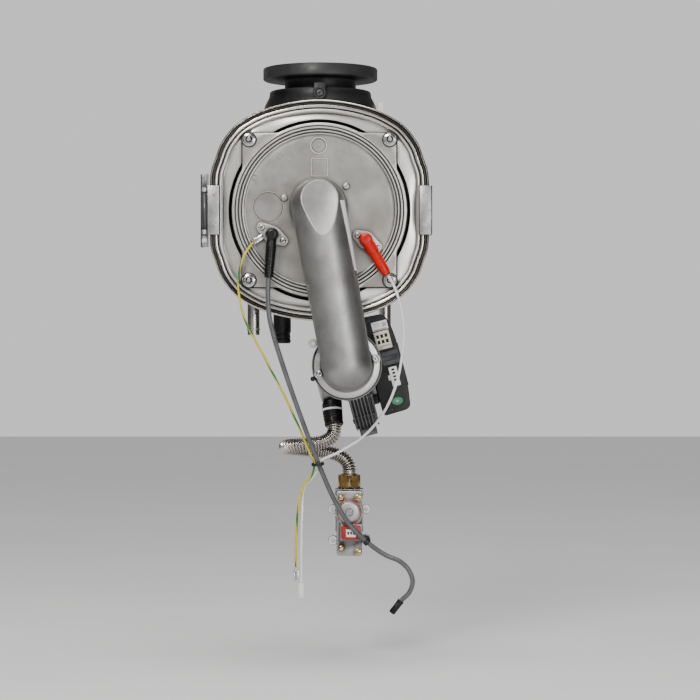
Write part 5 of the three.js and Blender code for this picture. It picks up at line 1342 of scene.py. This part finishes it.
# ------------------------------------------------------------------ flue adapter and its sensor
def build_flue():
    mat = "charcoal_plastic"
    cy = -88
    prof = [(0.1, 118), (76, 118), (76, 136.5), (75.8, 140), (74.7, 145.4), (72.6, 149.8), (69.4, 155.8), (68.6, 158.4), (68.2, 162.6), (67.4, 164.2), (65.5, 164.9), (50.5, 165.3), (48.7, 166.1), (48, 168), (48, 177), (48.8, 179.0), (50.5, 179.9), (75.6, 180.1), (77, 181.4), (77, 194.4), (76.2, 195.6), (75, 196), (0.1, 196)]
    body = lathe("flue", prof, 0, cy, mat, axis="z", n=112)
    rib = boxo("rib", (-8, cy - 74, 138), (8, cy - 50, 170), mat, 1.6, 3)
    boolean(body, rib, "UNION")
    saddle = loft("saddle", [polar(CR(-6.4), -176), polar(CR(-6.4), 2)], mat)
    boolean(body, saddle)
    boolean(body, lathe("bore", [(38, 110), (38, 160), (32, 176), (40, 178), (40, 200)], 0, cy, mat, axis="z", n=96))
    boolean(body, lathe("hollow", [(44, 110), (71, 110), (71, 137), (69, 150), (62, 160), (44, 160.5)], 0, cy, mat, axis="z", n=96, closed=True))
    # keep the piece that stands on the cell
    bm = bmesh.new()
    bm.from_mesh(body.data)
    seen, groups = set(), []
    for v0 in bm.verts:
        if v0.index in seen: continue
        stack, g = [v0], []
        seen.add(v0.index)
        while stack:
            v = stack.pop()
            g.append(v)
            for e in v.link_edges:
                q = e.other_vert(v)
                if q.index not in seen:
                    seen.add(q.index); stack.append(q)
        groups.append(g)
    groups.sort(key=len, reverse=True)
    for g in groups[1:]:
        if max(v.co.z for v in g) < 0.16:
            bmesh.ops.delete(bm, geom=g, context="VERTS")
    bm.to_mesh(body.data)
    bm.free()
    shade(body, 36)
    parts = [body]
    # screw in the rib, with its boss
    parts.append(lathe("boss", [(0.1, cy - 74.2), (5.2, cy - 74.2), (5.6, cy - 76.2), (7.6, cy - 76.4), (8.4, cy - 75.8), (8.6, cy - 73), (0.1, cy - 73)], 0, 156, mat, n=48))
    parts.append(lathe("screw", [(0.1, cy - 76.6), (3.2, cy - 76.6), (4.2, cy - 76.1), (4.5, cy - 75.3), (4.5, cy - 74.0), (0.1, cy - 74.0)], 0, 156, "guard_plastic", n=36))
    # dark cross: painted shade of the screw's cross recess
    parts.append(prism("cross", [(-2.4, 155.5), (2.4, 155.5), (2.4, 156.5), (-2.4, 156.5)], cy - 76.75, cy - 76.2, "hole_shade_black"))
    parts.append(prism("cross", [(-0.5, 153.6), (0.5, 153.6), (0.5, 158.4), (-0.5, 158.4)], cy - 76.77, cy - 76.2, "hole_shade_black"))
    # raised rim of the flange and its bolt bosses
    for k in range(8):
        t = math.radians(45 * k + 22.5)
        x, y = 71.6 * math.cos(t), cy + 71.6 * math.sin(t)
        parts.append(lathe("bolt_boss", [(0.1, 182.2), (3.0, 182.2), (3.4, 182.8), (3.4, 194), (0.1, 194)], x, y, mat, axis="z", n=24))
    # lip seal in the socket
    parts.append(lathe("lip_seal", [(40.2, 184), (36.6, 186.0), (36.2, 187.0), (37.2, 187.4), (40.2, 188.2)], 0, cy, "black_rubber", axis="z", n=96, closed=True))
    put(join("flue_all", parts), "flue_adapter")
    # flue temperature sensor
    m2 = "white_plastic"
    b = boxo("sensor", (77, cy - 6, 132), (85, cy + 6, 150), m2, 0.9, 3)
    boolean(b, boxo("socket", (80.4, cy - 4.2, 145), (83.9, cy + 4.2, 152), m2))
    shade(b, 36)
    parts = [b, lathe("stub", [(0.05, 76.4), (3, 76.4), (3, 78), (0.05, 78)], cy, 141, m2, axis="x", n=28)]
    for k in (-2, 2):
        parts.append(boxo("pin", (81.8, cy + k - 0.4, 144), (82.6, cy + k + 0.4, 149.2), "zinc_steel", 0.1))
    parts.append(lathe("grip", [(3, 76.8), (5.2, 76.8), (5.2, 77.4), (3, 77.4)], cy, 141, m2, axis="x", n=28, closed=True))
    put(join("sensor_all", parts), "flue_sensor")
build_flue()

# ------------------------------------------------------------------ leads, tie and clip
def build_leads():
    def sweep_path(P, per=14, step=1.0):
        return resample(catmull(P, per), step)
    # ignition lead
    ign, s1 = sweep_path(IGN_LEAD)
    o1 = put(tube("ignition_cable", ign, 3.2, "grey_silicone", n=28), "ignition_lead")
    e0, e1 = np.array([107.4, -156.9, -513.8]), np.array([95, -155, -530])
    d = (e1 - e0) / np.linalg.norm(e1 - e0)
    L = np.linalg.norm(e1 - e0)
    pts = np.array([e0 + d * q for q in np.linspace(0, L, 60)])
    def sleeve(q):
        r = 4.6 - 0.4 * q / L
        r -= 0.35 * (0.5 - 0.5 * math.cos(2 * math.pi * q / 2.6)) if 3 < q < 14.5 else 0
        if q < 0.8: r -= 0.5 * (0.8 - q)
        if q > L - 0.8: r -= 0.5 * (q - L + 0.8)
        return r
    sl = tube("ignition_end", pts, sleeve, "black_rubber", n=36)
    contact = tube("contact", np.array([e0 + d * (L - 3), e0 + d * (L - 1), e0 + d * L, e0 + d * (L + 0.15)]), [2.6, 2.6, 2.6, 2.3], "brass", n=24)
    end1 = put(join("ignition_connector", [sl, contact]), "ignition_lead_end")
    # ionisation lead
    ion, s2 = sweep_path(ION_LEAD)
    o2 = put(tube("ionisation_cable", ion, 1.75, "white_silicone", n=24), "ionisation_lead")
    b = boxo("housing", (-27.6, -168.4, -509), (-20.4, -163.6, -489.5), "white_plastic", 0.5, 2)
    boolean(b, boxo("well", (-26.2, -167.2, -511), (-21.8, -164.8, -503), "white_plastic"))
    boolean(b, boxo("window", (-25.2, -170, -500), (-22.8, -167.6, -495), "white_plastic"))
    shade(b, 34)
    tab = boxo("blade", (-25.6, -166.3, -507.6), (-22.4, -165.7, -492), "brass", 0.1)
    lip = boxo("lip", (-27.5, -168.35, -491.6), (-20.5, -163.65, -490.6), "white_plastic", 0.2)
    end2 = put(join("ionisation_connector", [b, tab, lip]), "ionisation_lead_end")
    # earth lead, striped
    ear, s3 = sweep_path(EARTH_LEAD)
    o3 = tube("earth_cable", ear, 1.5, "earth_yellow", n=24, mats=["earth_yellow", "earth_green"], stripe=0.30, twist=1 / 70.0, s=s3)
    put(o3, "earth_lead")
    b = boxo("terminal", (-34.6, -171.6, -486), (-27.4, -170.4, -473.4), "zinc_steel", 0.2)
    bar1 = boxo("curl", (-34.5, -173.1, -485.6), (-32.4, -171.4, -475), "zinc_steel", 0.5)
    bar2 = boxo("curl", (-29.6, -173.1, -485.6), (-27.5, -171.4, -475), "zinc_steel", 0.5)
    crimp = tube("crimp", [(-31, -171, -474), (-31, -171, -472), (-31, -171, -470), (-31, -171, -468.4)], 2.1, "zinc_steel", n=28)
    end3 = put(join("earth_connector", [b, bar1, bar2, crimp]), "earth_lead_end")
    # tie round the three leads
    def torus(name, c, axis, ri, ro, w, mat, n=72):
        prof = []
        for i in range(16):
            t = 2 * math.pi * i / 16
            cs, sn = math.cos(t), math.sin(t)
            prof.append(((ri + ro) / 2 + (ro - ri) / 2 * math.copysign(abs(cs) ** 0.5, cs), w * math.copysign(abs(sn) ** 0.5, sn)))
        o = lathe(name, prof, 0, 0, mat, axis="z", n=n, closed=True)
        o.data.transform(Matrix.Translation(Vector(c) * MM) @ Vector(axis).to_track_quat("Z", "Y").to_matrix().to_4x4())
        return o
    ring = torus("tie", (-2.4, -168.7, -333), (0.1, 0.1, -1), 7.25, 8.45, 1.75, "black_plastic")
    head = boxo("tie_head", (-4.6, -179.0, -335.4), (-0.2, -176.2, -330.6), "black_plastic", 0.5)
    put(join("tie_all", [ring, head]), "lead_tie")
    ring = torus("clip", (62.3, -149.4, -436.8), (0.76, -0.02, -0.65), 3.85, 5.15, 2.9, "black_plastic", 56)
    foot = lathe("foot", [(0.1, -144.8), (4.2, -144.8), (5, -144.0), (5, -134.6), (4.6, -133.9), (2.5, -133.7), (2.5, -128), (1.8, -127), (0.1, -127)], 61, -434, "black_plastic", n=36)
    boolean(foot, cone3("cutter", (50, -150.9, -427), (75, -149.1, -447), 4.2, 4.2, "black_plastic", 32))
    shade(foot, 40)
    put(join("clip_all", [ring, foot]), "valve_clip")
    print("LEADS", [round(length_of(p), 1) for p in (ign, ion, ear)])
build_leads()

# ------------------------------------------------------------------ safety spring, riding on the armature as a whole
helix = [(39 + 6 * math.cos(i * math.pi / 12), -92 + 6 * math.sin(i * math.pi / 12), -419.6 + 23.9 * i / 96) for i in range(97)]
spring = put(tube("spring", catmull(helix, 3), 0.7, "coil_stainless", n=12), "safety_spring", body="armature")
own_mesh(spring)

# ------------------------------------------------------------------ pieces shown as they are in the solids
for node, mat in (("door_seal", "graphite"), ("burner_tube", "coil_stainless"), ("door_insulation", "ceramic_fibre"), ("rear_insulation", "ceramic_fibre"), ("safety_armature", "coil_stainless")):
    for sl in NODES[node].material_slots:
        sl.material = M[mat]

SIZE = {"cad": CAD_BOX, "scene": plain(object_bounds())}
print("SIZE", SIZE)
